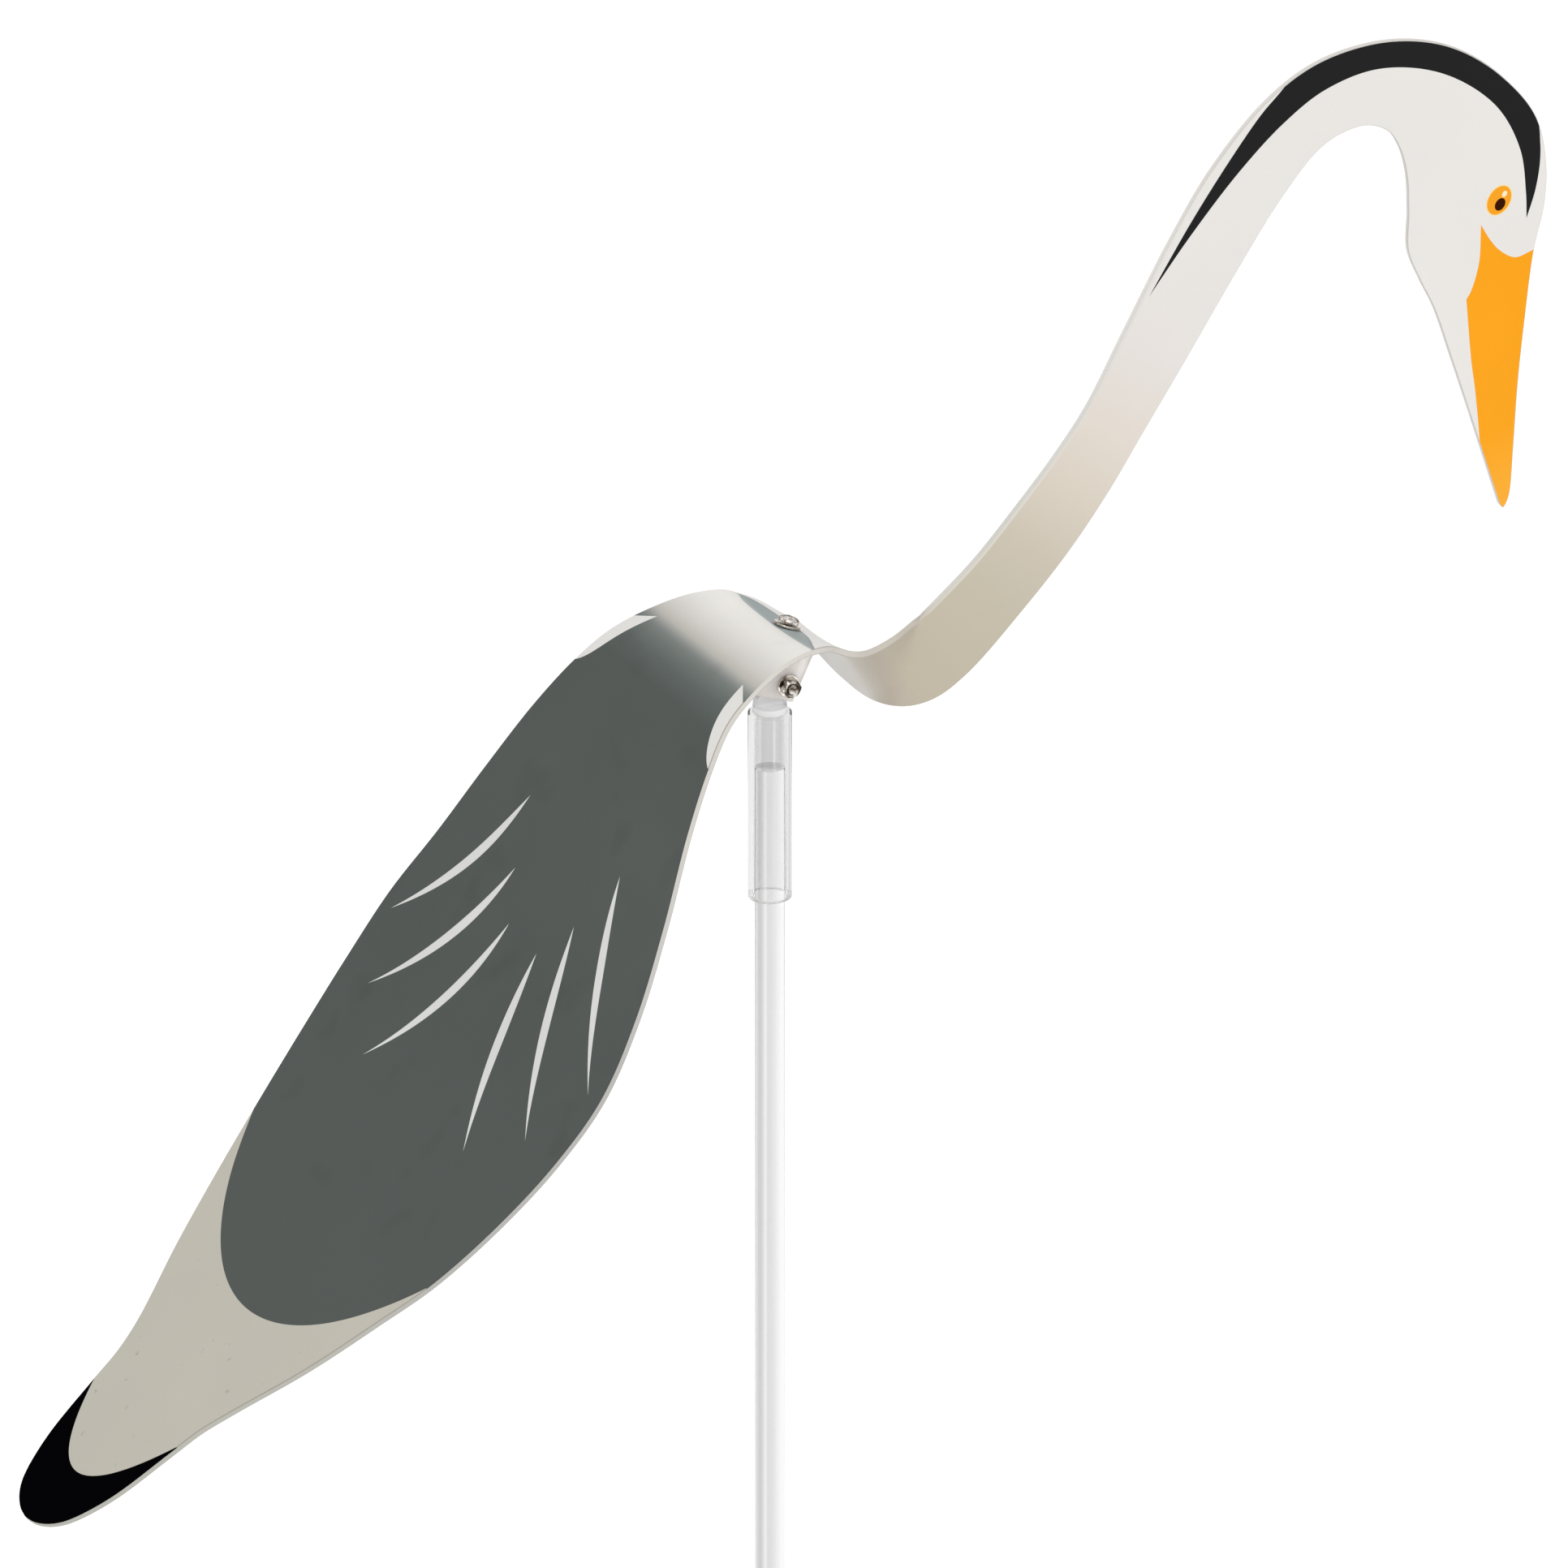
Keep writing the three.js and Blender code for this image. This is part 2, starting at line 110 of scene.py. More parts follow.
NECK_STATIONS = [
    [56.2, 14.9, 49.5, -20.2],
    [59.4, 17.5, 63.2, -19.5],
    [63, 20.5, 77, -11.6],
    [80.4, 35.8, 102, 12.7],
    [97.8, 54.7, 120.7, 33.5],
    [114.4, 74.2, 137.4, 55.8],
    [127.7, 92.5, 151.2, 77.2],
    [142.7, 120.1, 167.8, 102.7],
    [163.3, 157.5, 190.5, 138.3],
    [180.3, 183.6, 208.4, 164.7],
    [203.1, 208, 224.6, 183.2],
    [223.5, 220.1, 234.6, 188.7],
    [247.9, 224.4, 245.5, 190.2],
    [268.8, 221.6, 254.2, 186.1],
    [285.6, 214.2, 259.2, 177.9],
    [302.7, 200.2, 262.2, 165.8],
    [316.5, 181.3, 262.9, 150.2],
    [321, 160.5, 262.8, 134.1],
    [320.3, 143.2, 267.8, 120.7],
    [315.9, 124.1, 273.9, 107.5],
    [312.3, 96.3, 281.3, 84.9],
    [309.5, 69.6, 288.2, 63.1],
    [307.6, 41.3, 296, 37.8],
    [306.3, 24.1, 300.8, 22.3],
    [305.2, 20, 301.9, 19],
    [303.9, 17.6, 303.2, 17.4],
]
FIRST_UPRIGHT = len(BODY_STATIONS) + len(TURN_STATIONS)

# How finely the sheet and its artwork are drawn
STATION_STEPS = 50
SMOOTH_STEPS = 24
ARC_POINTS = 60
ELLIPSE_POINTS = 72
HOLE_POINTS = 48
ART_SPACING = 1.0
EDGE_SPACING = 1.5
WIDE_SPACING = 4.0
TIGHT_SPACING = 2.0
TIGHT_FROM = 395
TIGHT_TO = 600
CLEAR_SHARE = 0.6
SAME_POINT = 1e-4


# The sheet's surface

def sheet_edges():
    """The sheet's near and far edges, station by station from the tail's end to the beak's tip.

    On the body a station is the sheet's middle, half its width and its roll; at the shoulder the
    middle and the way to the far edge; on the neck and head the back edge and the throat edge.
    """
    near, far = [], []
    for ahead, up, half, roll in BODY_STATIONS:
        angle = math.radians(roll)
        middle = np.array([ahead, 0, up])
        reach = np.array([0, half * math.cos(angle), -half * math.sin(angle)])
        near.append(middle - reach)
        far.append(middle + reach)
    for ahead, up, *reach in TURN_STATIONS:
        middle = np.array([ahead, 0, up])
        near.append(middle - np.array(reach))
        far.append(middle + np.array(reach))
    for back_x, back_z, throat_x, throat_z in NECK_STATIONS:
        near.append([back_x, 0, back_z])
        far.append([throat_x, 0, throat_z])
    return np.array(near), np.array(far)


def curve_through(points, places):
    """A centripetal Catmull-Rom curve through the points, at places counted in points."""
    before = 2 * points[0] - points[1]
    after = 2 * points[-1] - points[-2]
    padded = np.vstack([before, points, after])
    index = np.clip(np.floor(places).astype(int), 0, len(points) - 2)
    share = (places - index)[:, None]
    p0, p1, p2, p3 = (padded[index + k] for k in range(4))
    d0, d1, d2 = (
        np.sqrt(np.linalg.norm(b - a, axis=1, keepdims=True))
        for a, b in ((p0, p1), (p1, p2), (p2, p3))
    )
    t1 = ((p1 - p0) / d0 - (p2 - p0) / (d0 + d1) + (p2 - p1) / d1) * d1
    t2 = ((p2 - p1) / d1 - (p3 - p1) / (d1 + d2) + (p3 - p2) / d2) * d1
    square = -3 * p1 + 3 * p2 - 2 * t1 - t2
    cube = 2 * p1 - 2 * p2 + t1 + t2
    return p1 + t1 * share + square * share**2 + cube * share**3


NEAR_STATIONS, FAR_STATIONS = sheet_edges()
LAST = len(NEAR_STATIONS) - 1


def sheet_point(station, across):
    """Points of the sheet's middle surface; across runs from 0 at the near edge to 1 at the far."""
    station = np.clip(station, 0, LAST)
    across = np.asarray(across)[:, None]
    near = curve_through(NEAR_STATIONS, station)
    far = curve_through(FAR_STATIONS, station)
    point = near * (1 - across) + far * across
    away = np.minimum(np.abs(station - SCREW_STATION) / DIP_STATIONS, 1)[:, None]
    point[:, 2:] -= SCREW_DIP * 4 * across * (1 - across) * (1 - away**2) ** 2
    return point


def unit(vectors):
    return vectors / np.linalg.norm(vectors, axis=1, keepdims=True)


def sheet_normal(station, across):
    nudge = 1 / 64
    along = sheet_point(station + nudge, across) - sheet_point(station - nudge, across)
    side = sheet_point(station, across + nudge) - sheet_point(station, across - nudge)
    return unit(np.cross(along, side))


# Flat places on the sheet: u is the way along its middle from the tail's end, v is the way across
# it, and both are millimetres.
FINE_STATIONS = np.linspace(0, LAST, LAST * STATION_STEPS + 1)
NEAR_EDGE = curve_through(NEAR_STATIONS, FINE_STATIONS)
FAR_EDGE = curve_through(FAR_STATIONS, FINE_STATIONS)
MIDDLE_STEPS = np.linalg.norm(np.diff((NEAR_EDGE + FAR_EDGE) / 2, axis=0), axis=1)
ALONG = np.concatenate([[0], np.cumsum(MIDDLE_STEPS)])
WIDTH = np.linalg.norm(FAR_EDGE - NEAR_EDGE, axis=1)
LENGTH = ALONG[-1]


def unflattened(flat):
    """Stations and shares across for flat places."""
    station = np.interp(flat[:, 0], ALONG, FINE_STATIONS)
    across = 0.5 + flat[:, 1] / np.interp(flat[:, 0], ALONG, WIDTH)
    return station, across


def flat_on_head(points):
    """Flat places for points of the upright neck and head, given as ways ahead and up."""
    first = np.searchsorted(FINE_STATIONS, FIRST_UPRIGHT)
    back = NEAR_EDGE[first:, ::2]
    side = FAR_EDGE[first:, ::2] - back
    flat = []
    for point in points:
        offset = point - back
        turn = side[:, 0] * offset[:, 1] - side[:, 1] * offset[:, 0]
        across = (side * offset).sum(1) / (side * side).sum(1)
        crossings = np.nonzero(turn[:-1] * turn[1:] <= 0)[0]
        best = crossings[np.argmin(np.abs(across[crossings] - 0.5))]
        share = turn[best] / (turn[best] - turn[best + 1])
        along = ALONG[first + best] * (1 - share) + ALONG[first + best + 1] * share
        reach = across[best] * (1 - share) + across[best + 1] * share
        flat.append([along, (reach - 0.5) * np.interp(along, ALONG, WIDTH)])
    return np.array(flat)


# The printed artwork, as closed outlines in flat places

def resampled(line, spacing=ART_SPACING):
    """The same line with evenly spaced points."""
    line = np.asarray(line, float)
    steps = np.linalg.norm(np.diff(line, axis=0), axis=1)
    along = np.concatenate([[0], np.cumsum(steps)])
    places = np.linspace(0, along[-1], max(math.ceil(along[-1] / spacing), 1) + 1)
    return np.column_stack([np.interp(places, along, line[:, k]) for k in (0, 1)])


def smooth(points):
    """An evenly sampled smooth line through the points."""
    points = np.array(points, float)
    places = np.linspace(0, len(points) - 1, (len(points) - 1) * SMOOTH_STEPS + 1)
    return resampled(curve_through(points, places))


def bow(start, end, sag, skew=0):
    """A shallow arc from start to end; sag is how far its middle stands off, to the left.

    With a positive skew the arc is fuller towards its start.
    """
    start, end = np.array(start, float), np.array(end, float)
    share = np.linspace(0, 1, ARC_POINTS)[:, None]
    chord = end - start
    left = np.array([-chord[1], chord[0]]) / np.linalg.norm(chord)
    fullness = 4 * share * (1 - share) * (1 + skew * (1 - 2 * share))
    return resampled(start + chord * share + left * sag * fullness)


def bezier(start, pull, push, end):
    share = np.linspace(0, 1, ARC_POINTS)[:, None]
    start, pull, push, end = (np.array(p, float) for p in (start, pull, push, end))
    line = start * (1 - share) ** 3 + pull * 3 * share * (1 - share) ** 2
    return resampled(line + push * 3 * share**2 * (1 - share) + end * share**3)


def ellipse(centre, half_long, half_short, lean):
    """An ellipse on the head's plane; lean is its long axis above straight ahead, in radians."""
    angle = np.linspace(0, 2 * math.pi, ELLIPSE_POINTS, endpoint=False)
    long_way = half_long * np.cos(angle)
    short_way = half_short * np.sin(angle)
    ahead = centre[0] + long_way * math.cos(lean) - short_way * math.sin(lean)
    up = centre[1] + long_way * math.sin(lean) + short_way * math.cos(lean)
    return np.column_stack([ahead, up])


# Places that lie off the sheet, where an outline runs round outside it
BEYOND = 130
TAIL_REACH = 100
TAIL_TIP_REACH = 45
PAST_BEAK = 10
PAST_BEAK_BACK = -40
PAST_BEAK_THROAT = 20

WING_REAR = 117
WING_REAR_SLANT = 0.007
WING_REAR_LENGTH = 203
WING_REAR_HALF_WIDTH = 125
COLLAR_REAR = 459.8
COLLAR_REACH = 42
TIP_REAR = 26.2
TIP_CURVE_RIGHT = 0.0245
TIP_CURVE_LEFT = 0.0229
TAIL_POINTS = 160
TAIL_TIP_POINTS = 80
STREAKS = [
    [(341.4, 46), (267.4, 95.3), 7.5, 2.7],
    [(314.9, 32.5), (239.9, 78.5), 8.1, 3.3],
    [(296.4, 17.4), (218.5, 51.4), 8.2, 3.4],
    [(295.3, -10.4), (219.2, -45.4), -8.5, -3.4],
    [(313.7, -25.5), (239, -75.6), -8.9, -4],
    [(341.5, -40.7), (269.2, -93.7), -9.2, -4.4],
]
STREAK_INNER_SKEW = 0.15
STREAK_OUTER_SKEW = -0.3
FEATHER_PULLS = {1: [(399.5, 56.8), (411, 50)], -1: [(399, 55), (412, 47.5)]}
COLLAR_LINE = 1.2
MARGIN_FROM = 512
MARGIN_TO = 745
MARGIN_WIDTH = 1.5
MARGIN_EASE = 30
EYE_LEAN = math.radians(61)


def rear_of(front):
    """What lies behind the line, which runs from the right of the sheet to the left."""
    return np.vstack([front, [[-BEYOND, front[-1][1]], [-BEYOND, front[0][1]]]])


def tail_outline():
    across = np.linspace(-TAIL_REACH, TAIL_REACH, TAIL_POINTS)
    rise = 1 - np.sqrt(1 - (across / WING_REAR_HALF_WIDTH) ** 2)
    along = WING_REAR + WING_REAR_SLANT * across + WING_REAR_LENGTH * rise
    return rear_of(resampled(np.column_stack([along, across])))


def tail_tip_outline():
    across = np.linspace(-TAIL_TIP_REACH, TAIL_TIP_REACH, TAIL_TIP_POINTS)
    curve = np.where(across < 0, TIP_CURVE_RIGHT, TIP_CURVE_LEFT)
    return rear_of(resampled(np.column_stack([TIP_REAR + curve * across**2, across])))


def wing_outline():
    rear, front = -BEYOND, COLLAR_REAR
    return np.array([[rear, -BEYOND], [front, -BEYOND], [front, BEYOND], [rear, BEYOND]])


def streak_outlines():
    """Slim crescents, each from its front end to its rear end between two arcs."""
    for front, rear, inner_sag, outer_sag in STREAKS:
        inner = bow(front, rear, inner_sag, STREAK_INNER_SKEW)
        outer = bow(front, rear, outer_sag, STREAK_OUTER_SKEW)
        yield np.vstack([inner, outer[-2:0:-1]])


def feather_outlines():
    for side, pulls in FEATHER_PULLS.items():
        points = [(429.3, 41.5), (423.6, 53), (418, 64), (395.8, 76), (395.8, 65.5), *pulls]
        tip, front, beyond_front, beyond_rear, rear, pull, push = ((u, v * side) for u, v in points)
        forward = resampled([tip, front, beyond_front, beyond_rear, rear])
        rearward = bezier(rear, pull, push, tip)
        yield np.vstack([forward, rearward[1:-1]])


def collar_outlines():
    """The collar patch, and the darker line along its front."""
    far_tip = (461.6, 36.6)
    front = smooth([
        far_tip, (464.1, 34.3), (466.3, 31), (470.2, 19.5), (473, 6), (471.4, -7.5),
        (467.2, -22), (462.4, -36.5), (COLLAR_REAR + COLLAR_LINE, -COLLAR_REACH),
    ])
    rear = resampled([
        (COLLAR_REAR, -COLLAR_REACH), (COLLAR_REAR, 22), (COLLAR_REAR + 0.3, 29), far_tip,
    ])
    line = (front - [COLLAR_LINE, 0])[::-1]
    return np.vstack([front, rear]), np.vstack([front, line])


def margin_outline():
    """The unprinted strip along the back edge of the neck."""
    along = np.arange(MARGIN_FROM, MARGIN_TO, ART_SPACING)
    edge = -np.interp(along, ALONG, WIDTH) / 2
    width = MARGIN_WIDTH * np.minimum(1, (along - MARGIN_FROM) / MARGIN_EASE)
    inner = np.column_stack([along, edge + width])
    outer = np.column_stack([along, edge - width])
    return np.vstack([inner, outer[-1:0:-1]])


def nape_outline():
    """The black band from the side of the neck over the crown to behind the eye."""
    inner = smooth([
        (153.4, 134.5), (171, 157.2), (191.8, 180.9), (210.5, 198), (227.6, 208.6), (249.9, 213.3),
        (276.3, 206.8), (299.1, 189.3), (309.8, 168.7), (312.4, 149.5), (312.7, 138.7),
    ])
    outer = smooth([
        (153.4, 134.5), (171.9, 164), (189, 188.3), (200.8, 203.3), (207.6, 210.1), (213, 215.6),
        (222, 222.5), (248, 227), (270, 223.2), (288, 215), (304.4, 200.8), (316.9, 180.4),
        (318.4, 169.4), (318.2, 160.5), (316.3, 149.7), (312.7, 138.7),
    ])
    return flat_on_head(np.vstack([inner, outer[-2:0:-1]]))


def beak_outline():
    """The beak: a scallop across the face, the cheek, and the mouth's line down to the throat."""
    face, mouth_corner = (293.5, 139.4), (287.4, 108.8)
    scallop = flat_on_head(smooth([
        face, (297.2, 132.6), (301.4, 127.2), (308, 123), (314, 124.3), (317, 125.4),
    ]))
    cheek = flat_on_head(smooth([face, (292.7, 123.4), (289.4, 112.1), mouth_corner]))
    mouth = flat_on_head(smooth([
        mouth_corner, (289.6, 82.5), (291.3, 69.5), (293.2, 49), (293.3, 46.5),
    ]))
    tip = LENGTH + PAST_BEAK
    back_side = [[scallop[-1][0], PAST_BEAK_BACK], [tip, PAST_BEAK_BACK]]
    throat_side = [[tip, PAST_BEAK_THROAT], [mouth[-1][0], PAST_BEAK_THROAT]]
    return np.vstack([scallop, back_side, throat_side, mouth[::-1], cheek[-2:0:-1]])


# Each mark's centre on the head, and half its length and width
EYE_MARKS = {
    "eye_rim": ((301.1, 148.4), 6.6, 5.2),
    "eye": ((301.1, 148.4), 6.15, 4.75),
    "pupil": ((301.5, 146.6), 2.7, 2.1),
    "eye_light": ((303.4, 150.7), 1.35, 1.0),
}


def artwork():
    """Each printed area's name and outline, from the lowest layer to the highest."""
    marks = [("wing", wing_outline()), ("tail", tail_outline()), ("tail_tip", tail_tip_outline())]
    marks += [("streak", outline) for outline in streak_outlines()]
    marks += [("feather", outline) for outline in feather_outlines()]
    marks += zip(("collar", "collar_line"), collar_outlines())
    marks.append(("neck_margin", margin_outline()))
    marks += [("nape", nape_outline()), ("beak", beak_outline())]
    for name, (centre, half_long, half_short) in EYE_MARKS.items():
        marks.append((name, flat_on_head(ellipse(centre, half_long, half_short, EYE_LEAN))))
    return marks


def inside(points, outline):
    """Which of the points lie inside the closed outline."""
    x, y = points[:, 0], points[:, 1]
    found = np.zeros(len(points), bool)
    for (x0, y0), (x1, y1) in zip(outline, np.roll(outline, -1, axis=0)):
        if y0 == y1:
            continue
        crosses = (y0 > y) != (y1 > y)
        found ^= crosses & (x < x0 + (y - y0) * (x1 - x0) / (y1 - y0))
    return found


# The sheet's mesh

# The prints that run over the printed face's rounded edge, and those that the under face hasn't
OVER_EDGE = ("wing", "tail_tip", "nape", "beak")
ABOVE_ONLY = ("wing", "tail", "streak", "feather", "collar", "collar_line")


def sheet_outline():
    """The sheet's outline in flat places, drawn in by its rounded rim."""
    half = WIDTH / 2
    near = resampled(np.column_stack([ALONG, -half]), EDGE_SPACING)
    far = resampled(np.column_stack([ALONG, half]), EDGE_SPACING)
    outline = np.vstack([near, far[::-1]])
    before, after = np.roll(outline, 1, axis=0), np.roll(outline, -1, axis=0)
    run = unit(after - before)
    outward = np.column_stack([run[:, 1], -run[:, 0]])
    return outline - outward * SHEET_ROUNDING


def screw_hole():
    angle = np.linspace(0, 2 * math.pi, HOLE_POINTS, endpoint=False)
    centre = np.interp(SCREW_STATION, FINE_STATIONS, ALONG)
    radius = SCREW_HOLE_RADIUS + SHEET_ROUNDING
    return np.column_stack([centre + radius * np.cos(angle), radius * np.sin(angle)])


def filling_points(lines, outline):
    """Rows of points that fill the outline, kept clear of the lines."""
    tree = KDTree(sum(len(line) for line in lines))
    for index, point in enumerate(np.vstack(lines)):
        tree.insert((point[0], point[1], 0), index)
    tree.balance()
    points = []
    u = WIDE_SPACING
    row = 0
    while u < LENGTH:
        spacing = TIGHT_SPACING if TIGHT_FROM < u < TIGHT_TO else WIDE_SPACING
        half = np.interp(u, ALONG, WIDTH) / 2
        start = -spacing * math.ceil(half / spacing) + (row % 2) * spacing / 2
        for v in np.arange(start, half, spacing):
            if tree.find((u, v, 0))[2] > spacing * CLEAR_SHARE:
                points.append((u, v))
        u += spacing * math.sin(math.radians(60))
        row += 1
    points = np.array(points)
    return points[inside(points, outline)]


def triangulated_sheet(marks):
    """Flat places, triangles, and the name of the artwork on each triangle."""
    outline, hole = sheet_outline(), screw_hole()
    lines = [outline, hole] + [mark for _, mark in marks]
    points, links = [], []
    for line in lines:
        count, start = len(line), len(points)
        points += [Vector(p) for p in line]
        links += [(start + k, start + (k + 1) % count) for k in range(count)]
    points += [Vector(p) for p in filling_points(lines, outline)]
    vertices, _, faces, *_ = delaunay_2d_cdt(points, links, [], 0, SAME_POINT, False)
    flat = np.array([tuple(v) for v in vertices])
    triangles = np.array(faces)
    centres = flat[triangles].mean(axis=1)
    kept = inside(centres, outline) & ~inside(centres, hole)
    triangles, centres = triangles[kept], centres[kept]
    first, second, third = (flat[triangles[:, k]] for k in range(3))
    backward = np.cross(second - first, third - first) < 0
    triangles[backward] = triangles[backward][:, ::-1]
    names = np.full(len(triangles), "neck", dtype=object)
    for name, mark in marks:
        names[inside(centres, mark)] = name
    used, triangles = np.unique(triangles, return_inverse=True)
    return flat[used], triangles.reshape(-1, 3), names


def rim_edges(triangles, names):
    """The edges that only one triangle has, running with that triangle, and its artwork's name."""
    edges = np.vstack([triangles[:, [0, 1]], triangles[:, [1, 2]], triangles[:, [2, 0]]])
    known = {tuple(edge) for edge in edges}
    single = [k for k, (a, b) in enumerate(edges) if (b, a) not in known]
    return edges[single], np.tile(names, 3)[single]


def heron_sheet(materials):
    """The whole bird as one mesh: a printed face, an under face and a rounded rim between them."""
    flat, triangles, names = triangulated_sheet(artwork())
    rim, beside_rim = rim_edges(triangles, names)
    count = len(flat)
    station, across = unflattened(flat)
    middle, normal = sheet_point(station, across), sheet_normal(station, across)
    half = SHEET_THICKNESS / 2

    outward = np.zeros_like(flat)
    run = unit(flat[rim[:, 1]] - flat[rim[:, 0]])
    aside = np.column_stack([run[:, 1], -run[:, 0]])
    np.add.at(outward, rim[:, 0], aside)
    np.add.at(outward, rim[:, 1], aside)
    on_rim = np.unique(rim)
    rim_flat = flat[on_rim] + unit(outward[on_rim]) * SHEET_ROUNDING
    half_width = np.interp(rim_flat[:, 0], ALONG, WIDTH) / 2
    rim_flat[:, 1] = np.clip(rim_flat[:, 1], -half_width, half_width)
    rim_middle = sheet_point(*unflattened(rim_flat))
    rim_normal = normal[on_rim]
    rim_outward = rim_middle - middle[on_rim]
    rim_outward -= rim_normal * (rim_outward * rim_normal).sum(1, keepdims=True)
    rim_outward = unit(rim_outward)
    low = half - SHEET_ROUNDING

    vertices = np.vstack([
        middle + normal * half,
        middle - normal * half,
        rim_middle + rim_normal * low,
        rim_middle - rim_normal * low,
    ])
    normals = np.vstack([normal, -normal, rim_outward, rim_outward])
    place = np.zeros((len(vertices), 3), np.float32)
    place[:, :2] = np.vstack([flat, flat, rim_flat, rim_flat])
    # Each rim point's numbers from the printed face, over the rim, to the under face
    way_down = {
        point: (point, 2 * count + k, 2 * count + len(on_rim) + k, point + count)
        for k, point in enumerate(on_rim)
    }

    slots = list(materials)
    faces = [tuple(t) for t in triangles]
    faces += [(a + count, c + count, b + count) for a, b, c in triangles]
    kinds = [slots.index(name) for name in names]
    kinds += [slots.index("underside" if name in ABOVE_ONLY else name) for name in names]
    for (a, b), name in zip(rim, beside_rim):
        beside, ahead = way_down[a], way_down[b]
        faces += [(beside[k], beside[k + 1], ahead[k + 1], ahead[k]) for k in range(3)]
        # Both rounded edges take the darker edge colour, partly a cut edge's line and partly painted shade;
        # dark prints run over the printed face's edge instead.
        shade = name if name in OVER_EDGE else "edge_painted_shade"
        kinds += [slots.index(part) for part in (shade, "rim", "edge_painted_shade")]

    mesh = bpy.data.meshes.new("heron_sheet")
    placed = vertices * MM + np.array(PIVOT)
    mesh.from_pydata(placed.tolist(), [], [tuple(map(int, face)) for face in faces])
    for name in slots:
        mesh.materials.append(materials[name])
    mesh.polygons.foreach_set("material_index", kinds)
    mesh.polygons.foreach_set("use_smooth", [True] * len(faces))
    attribute = mesh.attributes.new("sheet_place", "FLOAT_VECTOR", "POINT")
    attribute.data.foreach_set("vector", place.ravel())
    mesh.normals_split_custom_set_from_vertices(normals.tolist())
    finished_piece(mesh, BIRD, "heron")


# Pieces

SMOOTH_UP_TO = math.radians(32)
ON_AXIS = 1e-6
THREAD_PITCH = 0.7
THREAD_DEPTH = 0.34

# A profile's side is at least this many of its corners' roundings long
ROUNDINGS_PER_SIDE = 2.2


def new_object(name, data):
    made = bpy.data.objects.new(name, data)
    bpy.context.scene.collection.objects.link(made)
    return made


def finished_piece(mesh, body, node):
    piece = new_object(mesh.name, mesh)
    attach(piece, body)
    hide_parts(node)


def mesh_of(name, shape, matrix, material, sharp=SMOOTH_UP_TO):
    """A mesh from millimetre points, set in place by the matrix, smooth up to the sharp angle."""
    vertices, faces = shape
    mesh = bpy.data.meshes.new(name)
    mesh.from_pydata([Vector(v) * MM for v in vertices], [], faces)
    mesh.transform(matrix)
    mesh.materials.append(material)
    for polygon in mesh.polygons:
        polygon.use_smooth = True
    mesh.set_sharp_from_angle(angle=sharp)
    return mesh


def steel_piece(name, node, shape, matrix, material, sharp=SMOOTH_UP_TO):
    finished_piece(mesh_of(name, shape, matrix, material, sharp), BIRD, node)


def eased(profile, radius, closed=False, steps=4):
    """The profile with each corner rounded off."""
    points = [Vector(p) for p in profile]
    count = len(points)
    result = []
    for k, corner in enumerate(points):
        if not closed and k in (0, count - 1):
            result.append(corner)
            continue
        before, after = points[k - 1] - corner, points[(k + 1) % count] - corner
        reach = min(radius, min(before.length, after.length) / ROUNDINGS_PER_SIDE)
        start = corner + before.normalized() * reach
        end = corner + after.normalized() * reach
        for step in range(steps + 1):
            share = step / steps
            result.append(start * (1 - share) ** 2 + corner * 2 * share * (1 - share) + end * share**2)
    return [(p.x, p.y) for p in result]


def around(radius, angle, height):
    return radius * math.cos(angle), radius * math.sin(angle), height


def add_ring(vertices, steps, point_at):
    """Adds a ring of points, each worked out from its angle, and returns their numbers."""
    start = len(vertices)
    vertices += [point_at(2 * math.pi * step / steps) for step in range(steps)]
    return list(range(start, start + steps))


def faces_between(rows):
    """Faces from each row of points to the next; a row that is one point repeated makes triangles."""
    faces = []
    for lower, upper in zip(rows, rows[1:]):
        for step in range(len(lower)):
            beside = (step + 1) % len(lower)
            corners = [lower[step], lower[beside], upper[beside], upper[step]]
            faces.append(tuple(dict.fromkeys(corners)))
    return faces


def turned(profile, closed=False, steps=96):
    """Points and faces of a round piece about Z; a profile that isn't closed ends on the axis."""
    vertices, rows = [], []
    for radius, height in profile:
        if radius < ON_AXIS:
            rows.append([len(vertices)] * steps)
            vertices.append((0, 0, height))
        else:
            rows.append(add_ring(vertices, steps, lambda angle: around(radius, angle, height)))
    if closed:
        rows.append(rows[0])
    return vertices, faces_between(rows)


def hexagon_ring(across_flats, height, bore, chamfer_share=0.94, bore_ease=0.35, steps=72):
    """A chamfered hexagon with a round bore, from z = 0 to its height."""
    slope = math.tan(math.radians(30))
    face = across_flats / 2 * chamfer_share
    mouth = bore + bore_ease

    def side(angle):
        from_flat = (angle % math.radians(60)) - math.radians(30)
        return across_flats / 2 / math.cos(from_flat)

    def chamfer(angle):
        return (side(angle) - face) * slope

    def half(base, inward):
        """The rings from the bore out to the sides, at one end of the hexagon."""
        return [
            lambda angle: around(bore, angle, base + inward * bore_ease),
            lambda angle: around(mouth, angle, base),
            lambda angle: around(face, angle, base),
            lambda angle: around(side(angle), angle, base + inward * chamfer(angle)),
        ]

    vertices = []
    rows = [add_ring(vertices, steps, point_at) for point_at in half(0, 1) + half(height, -1)[::-1]]
    return vertices, faces_between(rows + rows[:1])


def threaded(radius, bottom, top, ease=0.5, steps=48, step_height=0.1):
    """A threaded shank about Z with eased ends, as rows whose radius follows one helix."""
    count = math.ceil((top - bottom) / step_height)
    vertices, rows = [(0, 0, bottom)], [[0] * steps]
    for row in range(count + 1):
        z = bottom + (top - bottom) * row / count
        end_ease = max(0, ease - min(z - bottom, top - z))

        def thread_point(angle):
            phase = (z / THREAD_PITCH - angle / (2 * math.pi)) % 1
            groove = THREAD_DEPTH * (1 - abs(2 * phase - 1))
            return around(radius - max(groove, end_ease), angle, z)

        rows.append(add_ring(vertices, steps, thread_point))
    rows.append([len(vertices)] * steps)
    vertices.append((0, 0, top))
    return vertices, faces_between(rows)


